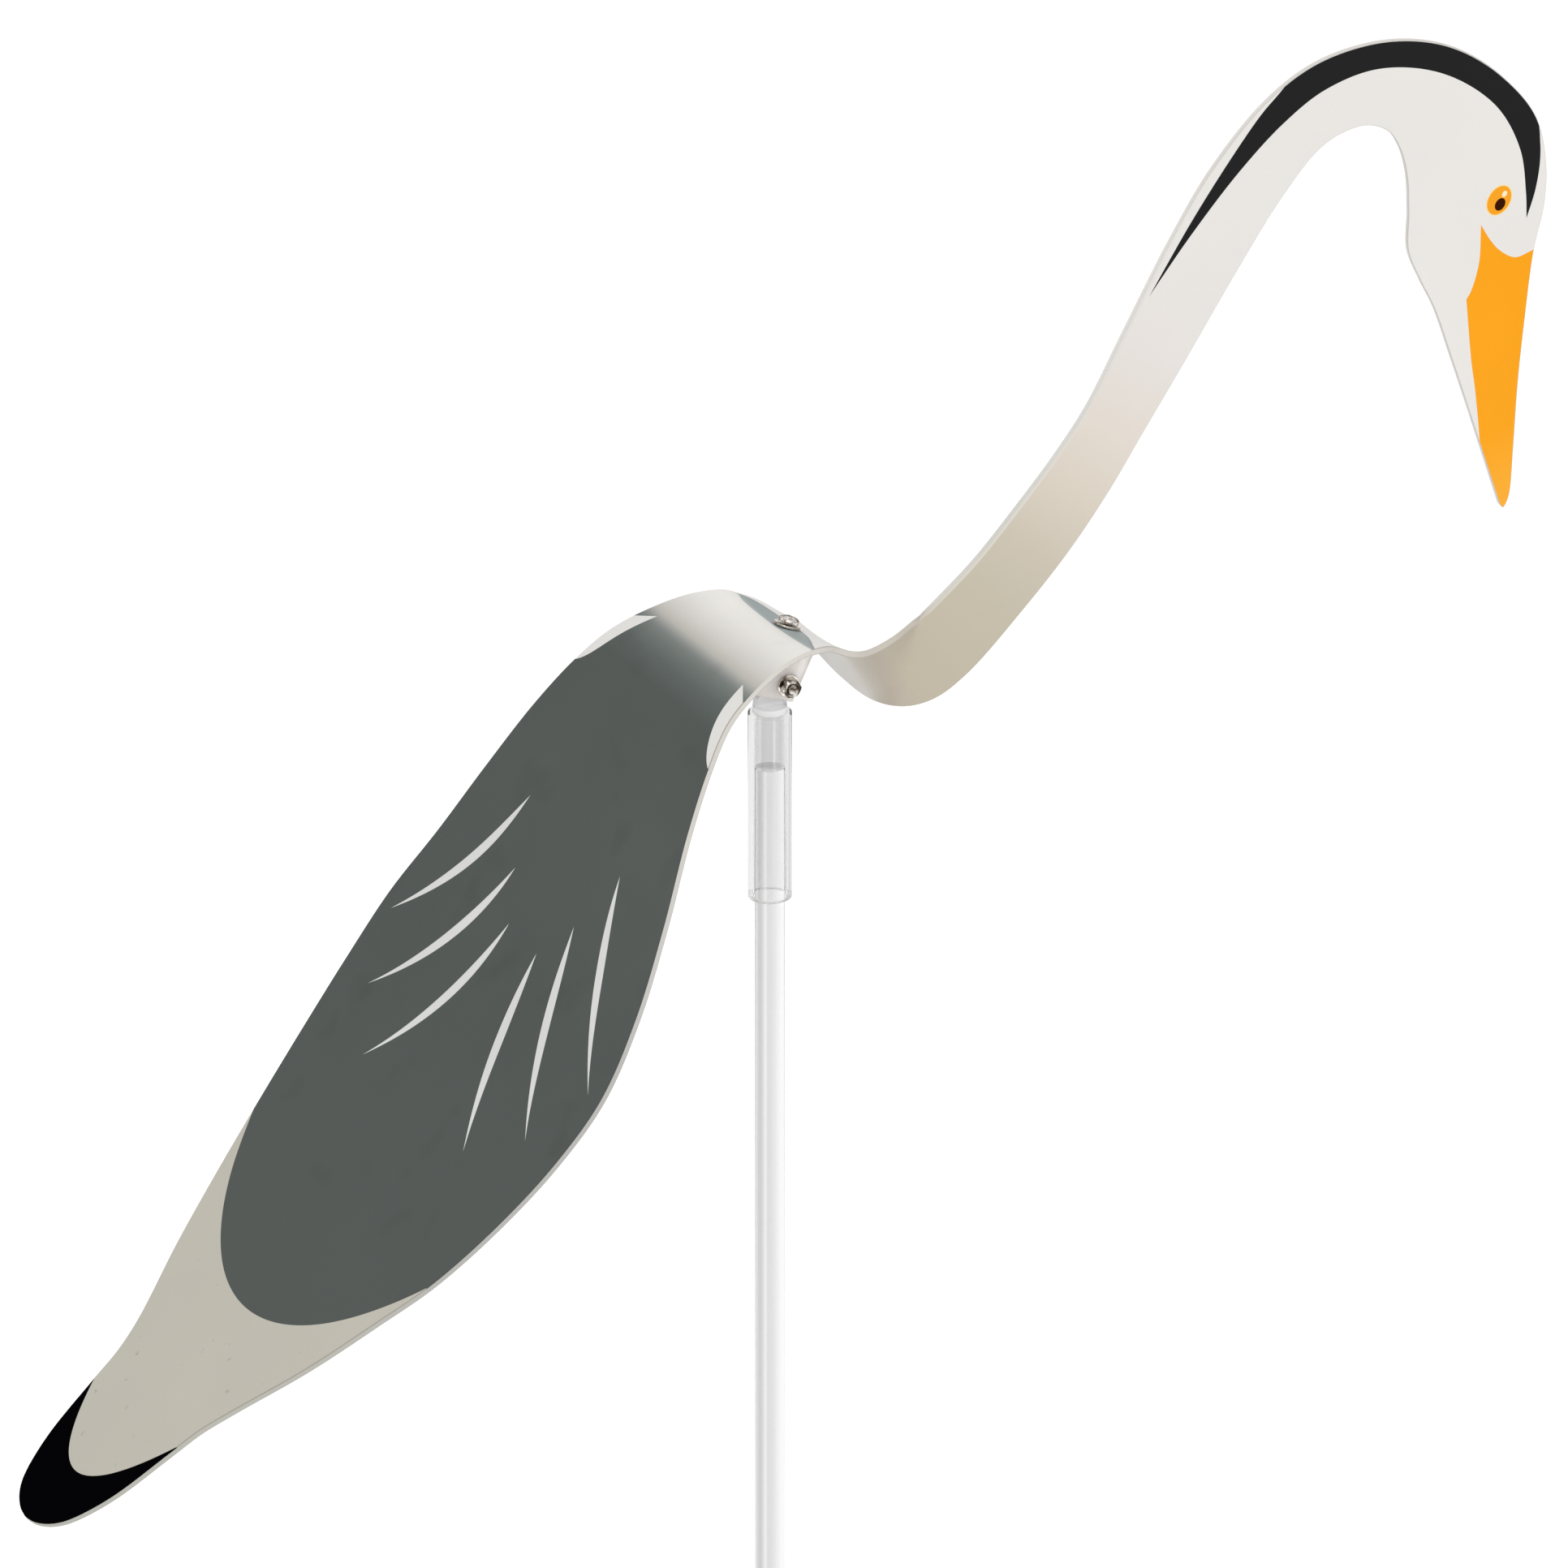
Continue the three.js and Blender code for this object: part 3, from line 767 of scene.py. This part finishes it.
def joined(first, second):
    """Points and faces of two shapes as one."""
    start = len(first[0])
    moved = [tuple(k + start for k in face) for face in second[1]]
    return first[0] + second[0], first[1] + moved


def raised(shape, height):
    vertices, faces = shape
    return [(x, y, z + height) for x, y, z in vertices], faces


# The hardware's sizes and places
SEAT_GAP = 0.3
BOLT_RADIUS = 2
NUT_ACROSS_FLATS = 7
NUT_HEIGHT = 3.2
NUT_CLEARANCE = 0.02
BOLT_HEAD_HEIGHT = 2.8
BOLT_HEAD_DIMPLE = 0.4
BOLT_END = 1.6
WASHER_RADIUS = 4.5
WASHER_THICKNESS = 0.8
WASHER_BORE = 2.15
WASHER_EASE_SHARE = 0.3
EAR_OUTER = 5.3
ROOF_THICKNESS = 4
SCREW_HEAD_RADIUS = 4.3
SCREW_HEAD_HEIGHT = 2.9
SCREW_HEAD_STEPS = 144
SCREW_HEAD_RINGS = 44
SCREW_RIM_HEIGHT = 1
SCREW_RIM_EASE = 0.3
SCREW_RIM_CORNER = 0.08
SCREW_DOME_POWER = 2.6
SCREW_REACH = 2
SHANK_IN_HEAD = 0.4
RECESS_HALF_LENGTH = 1.9
RECESS_HALF_WIDTH = 0.42
RECESS_DEPTH = 1.1
RECESS_WALL = 0.18
RECESS_TAPER = 0.45
COLLAR_WASHER_RADIUS = 5.7
COLLAR_WASHER_THICKNESS = 1

# Turns a piece made along Z to run along the bolt, with its top towards the nut
ON_BOLT = Matrix.Translation(PIVOT) @ Matrix(((1, 0, 0, 0), (0, 0, -1, 0), (0, 1, 0, 0), (0, 0, 0, 1)))


def on_screw():
    """Sets a piece made along Z on the screw's axis, counted from the sheet's middle surface."""
    station, across = np.array([SCREW_STATION]), np.array([0.5])
    seat = Vector(sheet_point(station, across)[0]) * MM + PIVOT
    normal = Vector(sheet_normal(station, across)[0])
    turn = Vector((0, 0, 1)).rotation_difference(normal)
    return Matrix.Translation(seat) @ turn.to_matrix().to_4x4()


def washer(radius, thickness):
    profile = [(WASHER_BORE, 0), (radius, 0), (radius, thickness), (WASHER_BORE, thickness)]
    return turned(eased(profile, thickness * WASHER_EASE_SHARE, closed=True), closed=True)


def pivot_hardware(lit_copy, shaded_copy):
    washer_seat = EAR_OUTER + SEAT_GAP
    nut_seat = washer_seat + WASHER_THICKNESS + SEAT_GAP
    nut = hexagon_ring(NUT_ACROSS_FLATS, NUT_HEIGHT, BOLT_RADIUS + NUT_CLEARANCE)
    # The nut and bolt take the darker copy of the plated steel: painted shade.
    steel_piece("pivot_nut_chamfered", "pivot_nut", raised(nut, nut_seat), ON_BOLT, shaded_copy, math.radians(20))
    ring = raised(washer(WASHER_RADIUS, WASHER_THICKNESS), washer_seat)
    steel_piece("pivot_washer_ring", "pivot_washer", ring, ON_BOLT, lit_copy)
    head = hexagon_ring(NUT_ACROSS_FLATS, BOLT_HEAD_HEIGHT, BOLT_HEAD_DIMPLE)
    shank = threaded(BOLT_RADIUS, -washer_seat - BOLT_HEAD_HEIGHT / 2, nut_seat + NUT_HEIGHT + BOLT_END)
    bolt = joined(raised(head, -washer_seat - BOLT_HEAD_HEIGHT), shank)
    steel_piece("pivot_bolt_threaded", "pivot_bolt", bolt, ON_BOLT, shaded_copy)


def recess_depth(x, y):
    """How deep the cross recess is at a point of the screw's head."""
    across = min(max(abs(x) - RECESS_HALF_LENGTH, abs(y) - RECESS_HALF_WIDTH),
                 max(abs(y) - RECESS_HALF_LENGTH, abs(x) - RECESS_HALF_WIDTH))
    share = min(max(0.5 - across / RECESS_WALL, 0), 1)
    taper = 1 - RECESS_TAPER * math.hypot(x, y) / RECESS_HALF_LENGTH
    return RECESS_DEPTH * taper * share * share * (3 - 2 * share)


def screw_head():
    """A pan head with a cross recess, from z = 0 up."""
    rim = SCREW_HEAD_RADIUS
    profile = [(0, 0), (rim - SCREW_RIM_EASE, 0), (rim - SCREW_RIM_CORNER, SCREW_RIM_CORNER)]
    profile.append((rim, SCREW_RIM_EASE))
    for ring in range(SCREW_HEAD_RINGS):
        share = 1 - ring / SCREW_HEAD_RINGS
        dome = (SCREW_HEAD_HEIGHT - SCREW_RIM_HEIGHT) * math.sqrt(1 - share**SCREW_DOME_POWER)
        profile.append((rim * share, SCREW_RIM_HEIGHT + dome))
    profile.append((0, SCREW_HEAD_HEIGHT))
    vertices, faces = turned(profile, steps=SCREW_HEAD_STEPS)
    foot, *rest = vertices
    return [foot, *((x, y, z - recess_depth(x, y)) for x, y, z in rest)], faces


def collar_hardware(lit_copy):
    washer_seat = SHEET_THICKNESS / 2 + SEAT_GAP
    head_seat = washer_seat + COLLAR_WASHER_THICKNESS + SEAT_GAP
    ring = raised(washer(COLLAR_WASHER_RADIUS, COLLAR_WASHER_THICKNESS), washer_seat)
    steel_piece("collar_washer_ring", "collar_washer", ring, on_screw(), lit_copy)
    foot = -washer_seat - ROOF_THICKNESS - SCREW_REACH
    shank = threaded(BOLT_RADIUS, foot, head_seat + SHANK_IN_HEAD)
    screw = joined(raised(screw_head(), head_seat), shank)
    steel_piece("collar_screw_head", "collar_screw", screw, on_screw(), lit_copy, math.radians(50))


# The clear pieces, with heights counted from the pivot
ROD_RADIUS = 5.8
SLEEVE_WALL = 2.5
SLEEVE_LENGTH = 78
SLEEVE_DROP = 12.6
PLUG_DEPTH = 23
EDGE_EASE = 0.35
PLUG_EASE = 0.3
CLEAR_STEPS = 128
SAWN_SLOPE = 0.6
ROD_AXIS = Matrix.Translation((0, 0, PIVOT.z))


def coupler_sleeve(material, sawn):
    """The tube, whose sawn ends have a material of their own."""
    bore = ROD_RADIUS + SEAT_GAP
    outer = bore + SLEEVE_WALL
    foot = -SLEEVE_DROP - SLEEVE_LENGTH
    profile = [(bore, foot), (outer, foot), (outer, -SLEEVE_DROP), (bore, -SLEEVE_DROP)]
    shape = turned(eased(profile, EDGE_EASE, closed=True), closed=True, steps=CLEAR_STEPS)
    mesh = mesh_of("coupler_sleeve_clear", shape, ROD_AXIS, material)
    mesh.materials.append(sawn)
    for polygon in mesh.polygons:
        polygon.material_index = int(abs(polygon.normal.z) > SAWN_SLOPE)
    finished_piece(mesh, STAND, "coupler_sleeve")


def clear_rod(material):
    top = -SLEEVE_DROP - PLUG_DEPTH - SEAT_GAP
    bottom = -PIVOT.z / MM
    profile = eased([(0, bottom), (ROD_RADIUS, bottom), (ROD_RADIUS, top), (0, top)], EDGE_EASE)
    mesh = mesh_of("rod_clear", turned(profile, steps=CLEAR_STEPS), ROD_AXIS, material)
    finished_piece(mesh, STAND, "rod")


def eased_copy(name, node, materials, body, width, split=-math.inf):
    """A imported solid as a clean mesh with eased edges; the second material goes below the split."""
    mesh = frame["nodes"][node].data.copy()
    mesh.name = name
    build = bmesh.new()
    build.from_mesh(mesh)
    bmesh.ops.remove_doubles(build, verts=build.verts, dist=1e-6)
    bmesh.ops.dissolve_limit(build, angle_limit=math.radians(1), verts=build.verts, edges=build.edges)
    sharp = [e for e in build.edges if len(e.link_faces) == 2 and e.calc_face_angle() > math.radians(30)]
    bmesh.ops.bevel(build, geom=sharp, offset=width * MM, segments=3, profile=0.5,
                    affect="EDGES", clamp_overlap=True)
    build.to_mesh(mesh)
    build.free()
    mesh.materials.clear()
    for material in materials:
        mesh.materials.append(material)
    for polygon in mesh.polygons:
        polygon.use_smooth = True
        polygon.material_index = int(polygon.center.z < split)
    mesh.set_sharp_from_angle(angle=math.radians(40))
    finished_piece(mesh, body, node)


# Nodes

def tint(red, green, blue, light=1.0):
    """A colour as the picture shows it, turned into the share of light that the surface returns."""
    linear = []
    for value in (red, green, blue):
        value /= 255
        value = value / 12.92 if value <= 0.04045 else ((value + 0.055) / 1.055) ** 2.4
        linear.append(value / light)
    return (*linear, 1)


def grey(value):
    return (value, value, value, 1)


def surface(name, **values):
    """A new material, its node tree and its shader, with values for the shader's sockets."""
    material = bpy.data.materials.new(name)
    material.use_nodes = True
    shader = material.node_tree.nodes["Principled BSDF"]
    for socket, value in values.items():
        shader.inputs[socket.replace("_", " ")].default_value = value
    return material, material.node_tree, shader


def add(tree, kind, values=None, **settings):
    """A new node in the tree, with values for its sockets and settings of its own."""
    node = tree.nodes.new(kind)
    for name, value in settings.items():
        setattr(node, name, value)
    for socket, value in (values or {}).items():
        node.inputs[socket].default_value = value
    return node


def link(source, target):
    source.id_data.links.new(source, target)


def object_place(tree):
    return add(tree, "ShaderNodeTexCoord").outputs["Object"]


def noise(vector, scale, detail=3.0):
    node = add(vector.id_data, "ShaderNodeTexNoise", {"Scale": scale, "Detail": detail})
    link(vector, node.inputs["Vector"])
    return node.outputs["Fac"]


def ranged(value, low, high, to_low, to_high):
    node = add(value.id_data, "ShaderNodeMapRange", {
        "From Min": low, "From Max": high, "To Min": to_low, "To Max": to_high,
    })
    link(value, node.inputs["Value"])
    return node.outputs["Result"]


def varied(colour, value, low, high, to_low, to_high):
    """The colour times a factor that follows the value: to_low at low, to_high at high."""
    node = add(colour.id_data, "ShaderNodeMix", {"Factor": 1.0}, data_type="RGBA", blend_type="MULTIPLY")
    link(colour, node.inputs["A"])
    link(ranged(value, low, high, to_low, to_high), node.inputs["B"])
    return node.outputs["Result"]


def reckoned(operation, first, second):
    """First and second are sockets, or second is a number."""
    node = add(first.id_data, "ShaderNodeMath", operation=operation)
    link(first, node.inputs[0])
    if isinstance(second, float):
        node.inputs[1].default_value = second
    else:
        link(second, node.inputs[1])
    return node.outputs["Value"]


def ramp(value, stops):
    """Colours along a value: stops are pairs of place, from 0 to 1, and colour."""
    node = add(value.id_data, "ShaderNodeValToRGB")
    elements = node.color_ramp.elements
    while len(elements) > 1:
        elements.remove(elements[-1])
    elements[0].position, elements[0].color = stops[0]
    for place, colour in stops[1:]:
        elements.new(place).color = colour
    link(value, node.inputs["Fac"])
    return node.outputs["Color"]


def bumped(shader, height, strength, distance):
    bump = add(height.id_data, "ShaderNodeBump", {"Strength": strength, "Distance": distance})
    link(height, bump.inputs["Height"])
    link(bump.outputs["Normal"], shader.inputs["Normal"])


# Materials. The print's noise is scaled for places in millimetres.

LIGHT_ON_SHEET = 1.35
CLOUD_SCALE = 0.018
GRAIN_SCALE = 0.9
SPECK_SCALE = 0.22
SMUDGE_SCALE = 0.03

# Where along the sheet the neck's colours, its print and the painted shade at the turn, lean across it, from
# none to fully and back
LEAN_FROM = 472
LEAN_FULL_FROM = 488
LEAN_FULL_TO = 515
LEAN_TO = 560

# The way across the clear pieces that their painted bands of light and shade are counted along
BANDS_AZIMUTH = math.radians(-23.6)
BANDS_ACROSS = (math.cos(BANDS_AZIMUTH), math.sin(BANDS_AZIMUTH), 0)
DRAWN_OUT = (1, 1, 0.012)


def leaned(along, across, lean):
    """The way along the sheet, counted at the shoulder from a line that leans across it."""
    rise = ranged(along, LEAN_FROM, LEAN_FULL_FROM, 0, lean)
    fall = ranged(along, LEAN_FULL_TO, LEAN_TO, 1, 0)
    aside = reckoned("MULTIPLY", reckoned("MULTIPLY", rise, fall), across)
    return reckoned("SUBTRACT", along, aside)


def printed(name, stops, grain=0.03, roughness=0.42, specks=0.0, smudge=0.0, gloss=0.12, lean=0.0):
    """Satin ink on the sheet. Stops are pairs of u and the colour that the picture shows there, which on
    some areas holds painted light and shade.
    """
    material, tree, shader = surface(name, Specular_IOR_Level=gloss)
    place = add(tree, "ShaderNodeAttribute", attribute_name="sheet_place").outputs["Vector"]
    split = add(tree, "ShaderNodeSeparateXYZ")
    link(place, split.inputs["Vector"])
    along = split.outputs["X"]
    if lean:
        along = leaned(along, split.outputs["Y"], lean)
    first, last = stops[0][0], stops[-1][0]
    reach = max(last - first, 1)
    share = ranged(along, first, first + reach, 0, 1)
    colour = ramp(share, [((u - first) / reach, tint(*shade, LIGHT_ON_SHEET)) for u, shade in stops])
    cloud = noise(place, CLOUD_SCALE, 4)
    fine = noise(place, GRAIN_SCALE, 2)
    colour = varied(colour, cloud, 0.3, 0.7, 1 - grain, 1 + grain)
    colour = varied(colour, fine, 0.2, 0.8, 1 - grain / 2, 1 + grain / 2)
    if specks:
        colour = varied(colour, noise(place, SPECK_SCALE, 6), 0.68, 0.74, 1, 1 - specks)
    if smudge:
        colour = varied(colour, noise(place, SMUDGE_SCALE, 2), 0.6, 0.72, 1, 1 - smudge)
    link(colour, shader.inputs["Base Color"])
    rough = ranged(cloud, 0.3, 0.7, roughness - 0.05, roughness + 0.05)
    link(rough, shader.inputs["Roughness"])
    bumped(shader, fine, 0.06, 0.0001)
    return material


def sheet_materials():
    """Materials by the names of the printed areas. One stop makes an area the same colour all over."""
    slate = (79, 85, 82)
    return {
        # The neck's beige-to-white gradient is print. Its stops up to u 500 are lifted as painted light by
        # the shoulder, and the darkest stops at the turn, about u 506 to 534, are partly painted shade; the
        # lean slants them across the sheet.
        "neck": printed("print_neck_light_and_shade", [
            (461, (239, 237, 232)), (488, (236, 234, 230)), (494, (232, 229, 224)), (500, (226, 222, 217)),
            (506, (203, 196, 184)), (512, (193, 184, 170)), (518, (193, 183, 168)), (524, (195, 186, 167)),
            (534, (196, 186, 168)), (567, (199, 191, 172)), (592, (206, 197, 180)), (617, (217, 208, 193)),
            (646, (227, 218, 208)), (684, (231, 226, 222)), (721, (232, 229, 225)), (1000, (236, 233, 229)),
        ], grain=0.012, lean=0.85),
        "neck_margin": printed("bare_neck_margin", [
            (512, (203, 196, 184)), (540, (212, 206, 193)), (559, (217, 212, 201)), (588, (221, 216, 207)),
            (640, (223, 219, 213)), (700, (227, 224, 220)), (745, (232, 229, 225)),
        ], grain=0.012),
        # The slate's fade to pale is print; its pale stops from about u 437 on are lifted as painted light,
        # where the saddle faces the light.
        "wing": printed("print_wing_and_painted_light", [
            (0, slate), (408, slate), (417, (90, 97, 94)), (423, (107, 114, 110)), (426.5, (122, 128, 125)),
            (428.5, (147, 149, 146)), (431, (182, 180, 173)), (434, (199, 195, 188)), (437, (209, 206, 201)),
            (443, (224, 221, 216)), (449, (236, 233, 228)), (455, (241, 238, 233)), (462, (243, 241, 236)),
        ], grain=0.035, smudge=0.1),
        "tail": printed("print_tail", [
            (30, (191, 187, 175)), (120, (192, 188, 176)),
        ], grain=0.02, specks=0.25),
        "tail_tip": printed("print_tail_tip", [(0, (5, 5, 7))], gloss=0.0),
        "streak": printed("print_streaks", [(0, (218, 218, 216))]),
        "feather": printed("print_shoulder_feathers", [
            (395, (226, 224, 220)), (430, (228, 226, 222)),
        ], grain=0.015),
        "collar": printed("print_collar", [
            (459.8, (192, 196, 193)), (461, (170, 178, 177)), (463, (160, 169, 168)), (474, (160, 169, 168)),
        ], grain=0.04),
        "collar_line": printed("print_collar_line", [
            (460, (154, 163, 161)), (475, (146, 154, 152)),
        ], grain=0.04),
        "nape": printed("print_nape", [(0, (38, 38, 39))], gloss=0.0),
        "beak": printed("print_beak", [
            (880, (254, 166, 28)), (1000, (254, 168, 34)), (1035, (253, 178, 60)),
        ], grain=0.015, gloss=0.02),
        "eye_rim": printed("print_eye_rim", [(0, (252, 226, 160))], grain=0.01),
        "eye": printed("print_eye", [(0, (250, 166, 38))], grain=0.02, gloss=0.02),
        "pupil": printed("print_pupil", [(0, (58, 24, 10))], grain=0.02, gloss=0.0),
        "eye_light": printed("print_eye_light", [(0, (254, 238, 200))], grain=0.01),
        "underside": printed("bare_underside", [(0, (212, 211, 206)), (460, (222, 220, 216))], grain=0.02),
        # The rounded edges' colour: partly a cut edge's darker line, partly painted shade, darkest along the
        # tail.
        "edge_painted_shade": printed("rim_edge_painted_shade", [
            (0, (160, 154, 144)), (440, (172, 166, 158)), (490, (200, 195, 185)), (520, (200, 195, 185)),
            (545, (212, 207, 196)), (700, (217, 213, 207)), (760, (208, 205, 200)), (1000, (206, 203, 198)),
        ]),
        # The rim is one milky plastic; its tone along the sheet is painted light and shade, darkest along
        # the tail and at the neck's turn.
        "rim": printed("milky_rim_light_and_shade", [
            (0, (184, 183, 175)), (120, (188, 187, 177)), (200, (183, 182, 178)), (280, (187, 185, 181)),
            (330, (202, 200, 196)), (390, (213, 210, 203)), (440, (221, 218, 210)), (480, (218, 214, 208)),
            (505, (200, 194, 184)), (525, (206, 199, 186)), (545, (217, 215, 207)), (600, (213, 213, 207)),
            (680, (228, 225, 221)), (760, (222, 218, 213)), (1000, (232, 228, 224)),
        ], roughness=0.5),
    }


def plated_steel(name, stops):
    """Bright metal whose colour varies in fine patches, which are painted reflections of dark and bright
    surroundings.
    """
    material, tree, shader = surface(name, Metallic=1.0)
    place = object_place(tree)
    reflection_patches = noise(place, 420, 4)
    colour = ramp(reflection_patches, [(at, tint(*shade)) for at, shade in stops])
    link(colour, shader.inputs["Base Color"])
    link(ranged(reflection_patches, 0.2, 0.8, 0.1, 0.22), shader.inputs["Roughness"])
    bumped(shader, noise(place, 2600, 3), 0.15, 0.00005)
    return material


def drawn_plastic_painted_light(name, radius, light_bands):
    """Clear plastic drawn out lengthwise. Its bands across, pairs of place from 0 to 1 and tint, are painted
    light and shade: bright lines and darker sides for how the clear piece bends and reflects what is round
    it.
    """
    material, tree, shader = surface(
        name, Transmission_Weight=1.0, IOR=1.06, Coat_Weight=0.4, Coat_Roughness=0.04)
    place = object_place(tree)
    across = add(tree, "ShaderNodeVectorMath", {1: BANDS_ACROSS}, operation="DOT_PRODUCT")
    link(place, across.inputs[0])
    share = ranged(across.outputs["Value"], -radius * MM, radius * MM, 0, 1)
    colour = ramp(share, [(at, grey(value)) for at, value in light_bands])
    stretch = add(tree, "ShaderNodeVectorMath", {1: DRAWN_OUT}, operation="MULTIPLY")
    link(place, stretch.inputs[0])
    streaks = noise(stretch.outputs["Vector"], 900, 2)
    colour = varied(colour, streaks, 0.35, 0.65, 0.975, 1.0)
    link(colour, shader.inputs["Base Color"])
    link(ranged(streaks, 0.3, 0.7, 0.02, 0.06), shader.inputs["Roughness"])
    return material


def milky_plastic(name, dark, light, through, bend=1.3):
    """Plastic that lets light through without showing much behind it."""
    material, tree, shader = surface(name, Transmission_Weight=through, IOR=bend)
    cloud = noise(object_place(tree), 160, 3)
    colour = ramp(cloud, [(0.3, tint(*dark)), (0.7, tint(*light))])
    link(colour, shader.inputs["Base Color"])
    link(ranged(cloud, 0.3, 0.7, 0.4, 0.55), shader.inputs["Roughness"])
    return material


# The studio

FLOOR_RADIUS = 70
WHITE_STRENGTH = 1.06
ROOM_SHADES = [
    (0, 0.05), (0.1, 0.06), (0.2, 0.5), (0.3, 0.95), (0.55, 1.0), (0.62, 0.4), (0.7, 0.9), (1, 0.8),
]


def floor():
    """A wide plain floor with a rounded outline."""
    build = bmesh.new()
    bmesh.ops.create_circle(build, cap_ends=True, radius=FLOOR_RADIUS, segments=64)
    mesh = bpy.data.meshes.new("floor")
    build.to_mesh(mesh)
    build.free()
    material, tree, shader = surface("pale_floor", Roughness=0.9, Specular_IOR_Level=0.0)
    shade = ramp(noise(object_place(tree), 3), [(0.3, grey(0.95)), (0.7, grey(0.96))])
    link(shade, shader.inputs["Base Color"])
    mesh.materials.append(material)
    ground = new_object("floor", mesh)


def world():
    """Even white light all round, and a darker room for what the shiny pieces reflect."""
    made = bpy.data.worlds.new("studio")
    made.use_nodes = True
    tree = made.node_tree
    white = tree.nodes["Background"]
    white.inputs["Color"].default_value = grey(1)
    white.inputs["Strength"].default_value = WHITE_STRENGTH
    place = add(tree, "ShaderNodeTexCoord").outputs["Generated"]
    split = add(tree, "ShaderNodeSeparateXYZ")
    link(place, split.inputs["Vector"])
    shade = ramp(split.outputs["Z"], [(height, grey(value)) for height, value in ROOM_SHADES])
    room = add(tree, "ShaderNodeBackground")
    link(shade, room.inputs["Color"])
    path = add(tree, "ShaderNodeLightPath")
    outside = reckoned("LESS_THAN", path.outputs["Transmission Depth"], 0.5)
    reflected = reckoned("MULTIPLY", path.outputs["Is Glossy Ray"], outside)
    mix = add(tree, "ShaderNodeMixShader")
    link(reflected, mix.inputs["Fac"])
    link(white.outputs["Background"], mix.inputs[1])
    link(room.outputs["Background"], mix.inputs[2])
    link(mix.outputs["Shader"], tree.nodes["World Output"].inputs["Surface"])
    bpy.context.scene.world = made


def soft_light(name, place, aim, size, power):
    data = bpy.data.lights.new(name, "AREA")
    data.size = size
    data.energy = power
    light = new_object(name, data)
    light.location = place
    light.rotation_euler = (Vector(aim) - Vector(place)).to_track_quat("-Z", "Y").to_euler()


def camera():
    turn, lift = CAMERA_AZIMUTH, CAMERA_ELEVATION
    right = Vector((math.cos(turn), math.sin(turn), 0))
    back = Vector((math.sin(turn) * math.cos(lift), -math.cos(turn) * math.cos(lift), math.sin(lift)))
    up = back.cross(right)
    data = bpy.data.cameras.new("camera")
    data.lens = CAMERA_LENS
    data.sensor_width = SENSOR
    distance = PICTURE_SPAN * CAMERA_LENS / SENSOR
    data.clip_start, data.clip_end = distance / 100, distance * 10
    view = new_object("camera", data)
    view.location = PIVOT + right * PICTURE_RIGHT - up * PICTURE_BELOW + back * distance
    view.rotation_euler = (-back).to_track_quat("-Z", "Y").to_euler()
    bpy.context.scene.camera = view


def hardware():
    # One plated steel in two copies: the lit copy for the screw and washers, and a darker copy, painted
    # shade, for the nut and bolt.
    lit_copy = plated_steel("lit_copy_plated_steel", [
        (0.36, (132, 122, 112)), (0.5, (206, 198, 190)), (0.6, (240, 236, 230)),
    ])
    shaded_copy = plated_steel("shaded_copy_plated_steel", [
        (0.38, (58, 50, 44)), (0.5, (98, 88, 80)), (0.64, (220, 214, 206)),
    ])
    collar_hardware(lit_copy)
    pivot_hardware(lit_copy, shaded_copy)


def clear_pieces():
    # The rod's, plug core's and sleeve's bands are painted light and shade: bright lines and shaded sides.
    rod_plastic = drawn_plastic_painted_light("rod_plastic_painted_light", ROD_RADIUS, [
        (0, 0.74), (0.08, 0.66), (0.18, 0.53), (0.26, 0.6), (0.31, 0.7), (0.37, 0.78),
        (0.43, 0.65), (0.54, 0.67), (0.66, 0.73), (0.8, 0.83), (0.9, 0.89), (0.95, 0.8), (1, 0.83),
    ])
    plug_core_plastic = drawn_plastic_painted_light("plug_core_painted_light", ROD_RADIUS, [
        (0, 0.63), (0.12, 0.62), (0.19, 0.74), (0.26, 0.58), (0.56, 0.56),
        (0.64, 0.74), (0.7, 0.59), (0.86, 0.59), (0.94, 0.7),
    ])
    sleeve_plastic = drawn_plastic_painted_light("sleeve_plastic_painted_light", ROD_RADIUS + SEAT_GAP + SLEEVE_WALL, [
        (0, 0.7), (0.15, 0.78), (0.19, 0.98), (0.83, 0.98), (0.87, 0.61), (0.94, 0.61), (1, 0.72),
    ])
    sawn_plastic = milky_plastic("sawn_end_plastic", (244, 244, 243), (250, 250, 249), 0.75, 1.1)
    plug_plastic = milky_plastic("frosted_plug_plastic", (236, 236, 237), (243, 243, 244), 0.6)
    bracket_plastic = milky_plastic("milky_bracket_plastic", (244, 240, 236), (250, 246, 243), 0.5)
    eased_copy("pivot_bracket_clear", "pivot_bracket", [bracket_plastic], BIRD, EDGE_EASE)
    sleeve_top = PIVOT.z - (SLEEVE_DROP - SEAT_GAP / 2) * MM
    plug_plastics = [plug_plastic, plug_core_plastic]
    eased_copy("rod_plug_frosted", "rod_plug", plug_plastics, STAND, PLUG_EASE, sleeve_top)
    coupler_sleeve(sleeve_plastic, sawn_plastic)
    clear_rod(rod_plastic)


def main():
    heron_sheet(sheet_materials())
    hardware()
    clear_pieces()
    floor()
    world()
    soft_light("key", place=(-1.6, -2.6, 3.2), aim=PIVOT, size=2.4, power=60)
    camera()
    bpy.context.scene.view_settings.view_transform = "Standard"
    bpy.context.scene.view_settings.look = "None"


main()
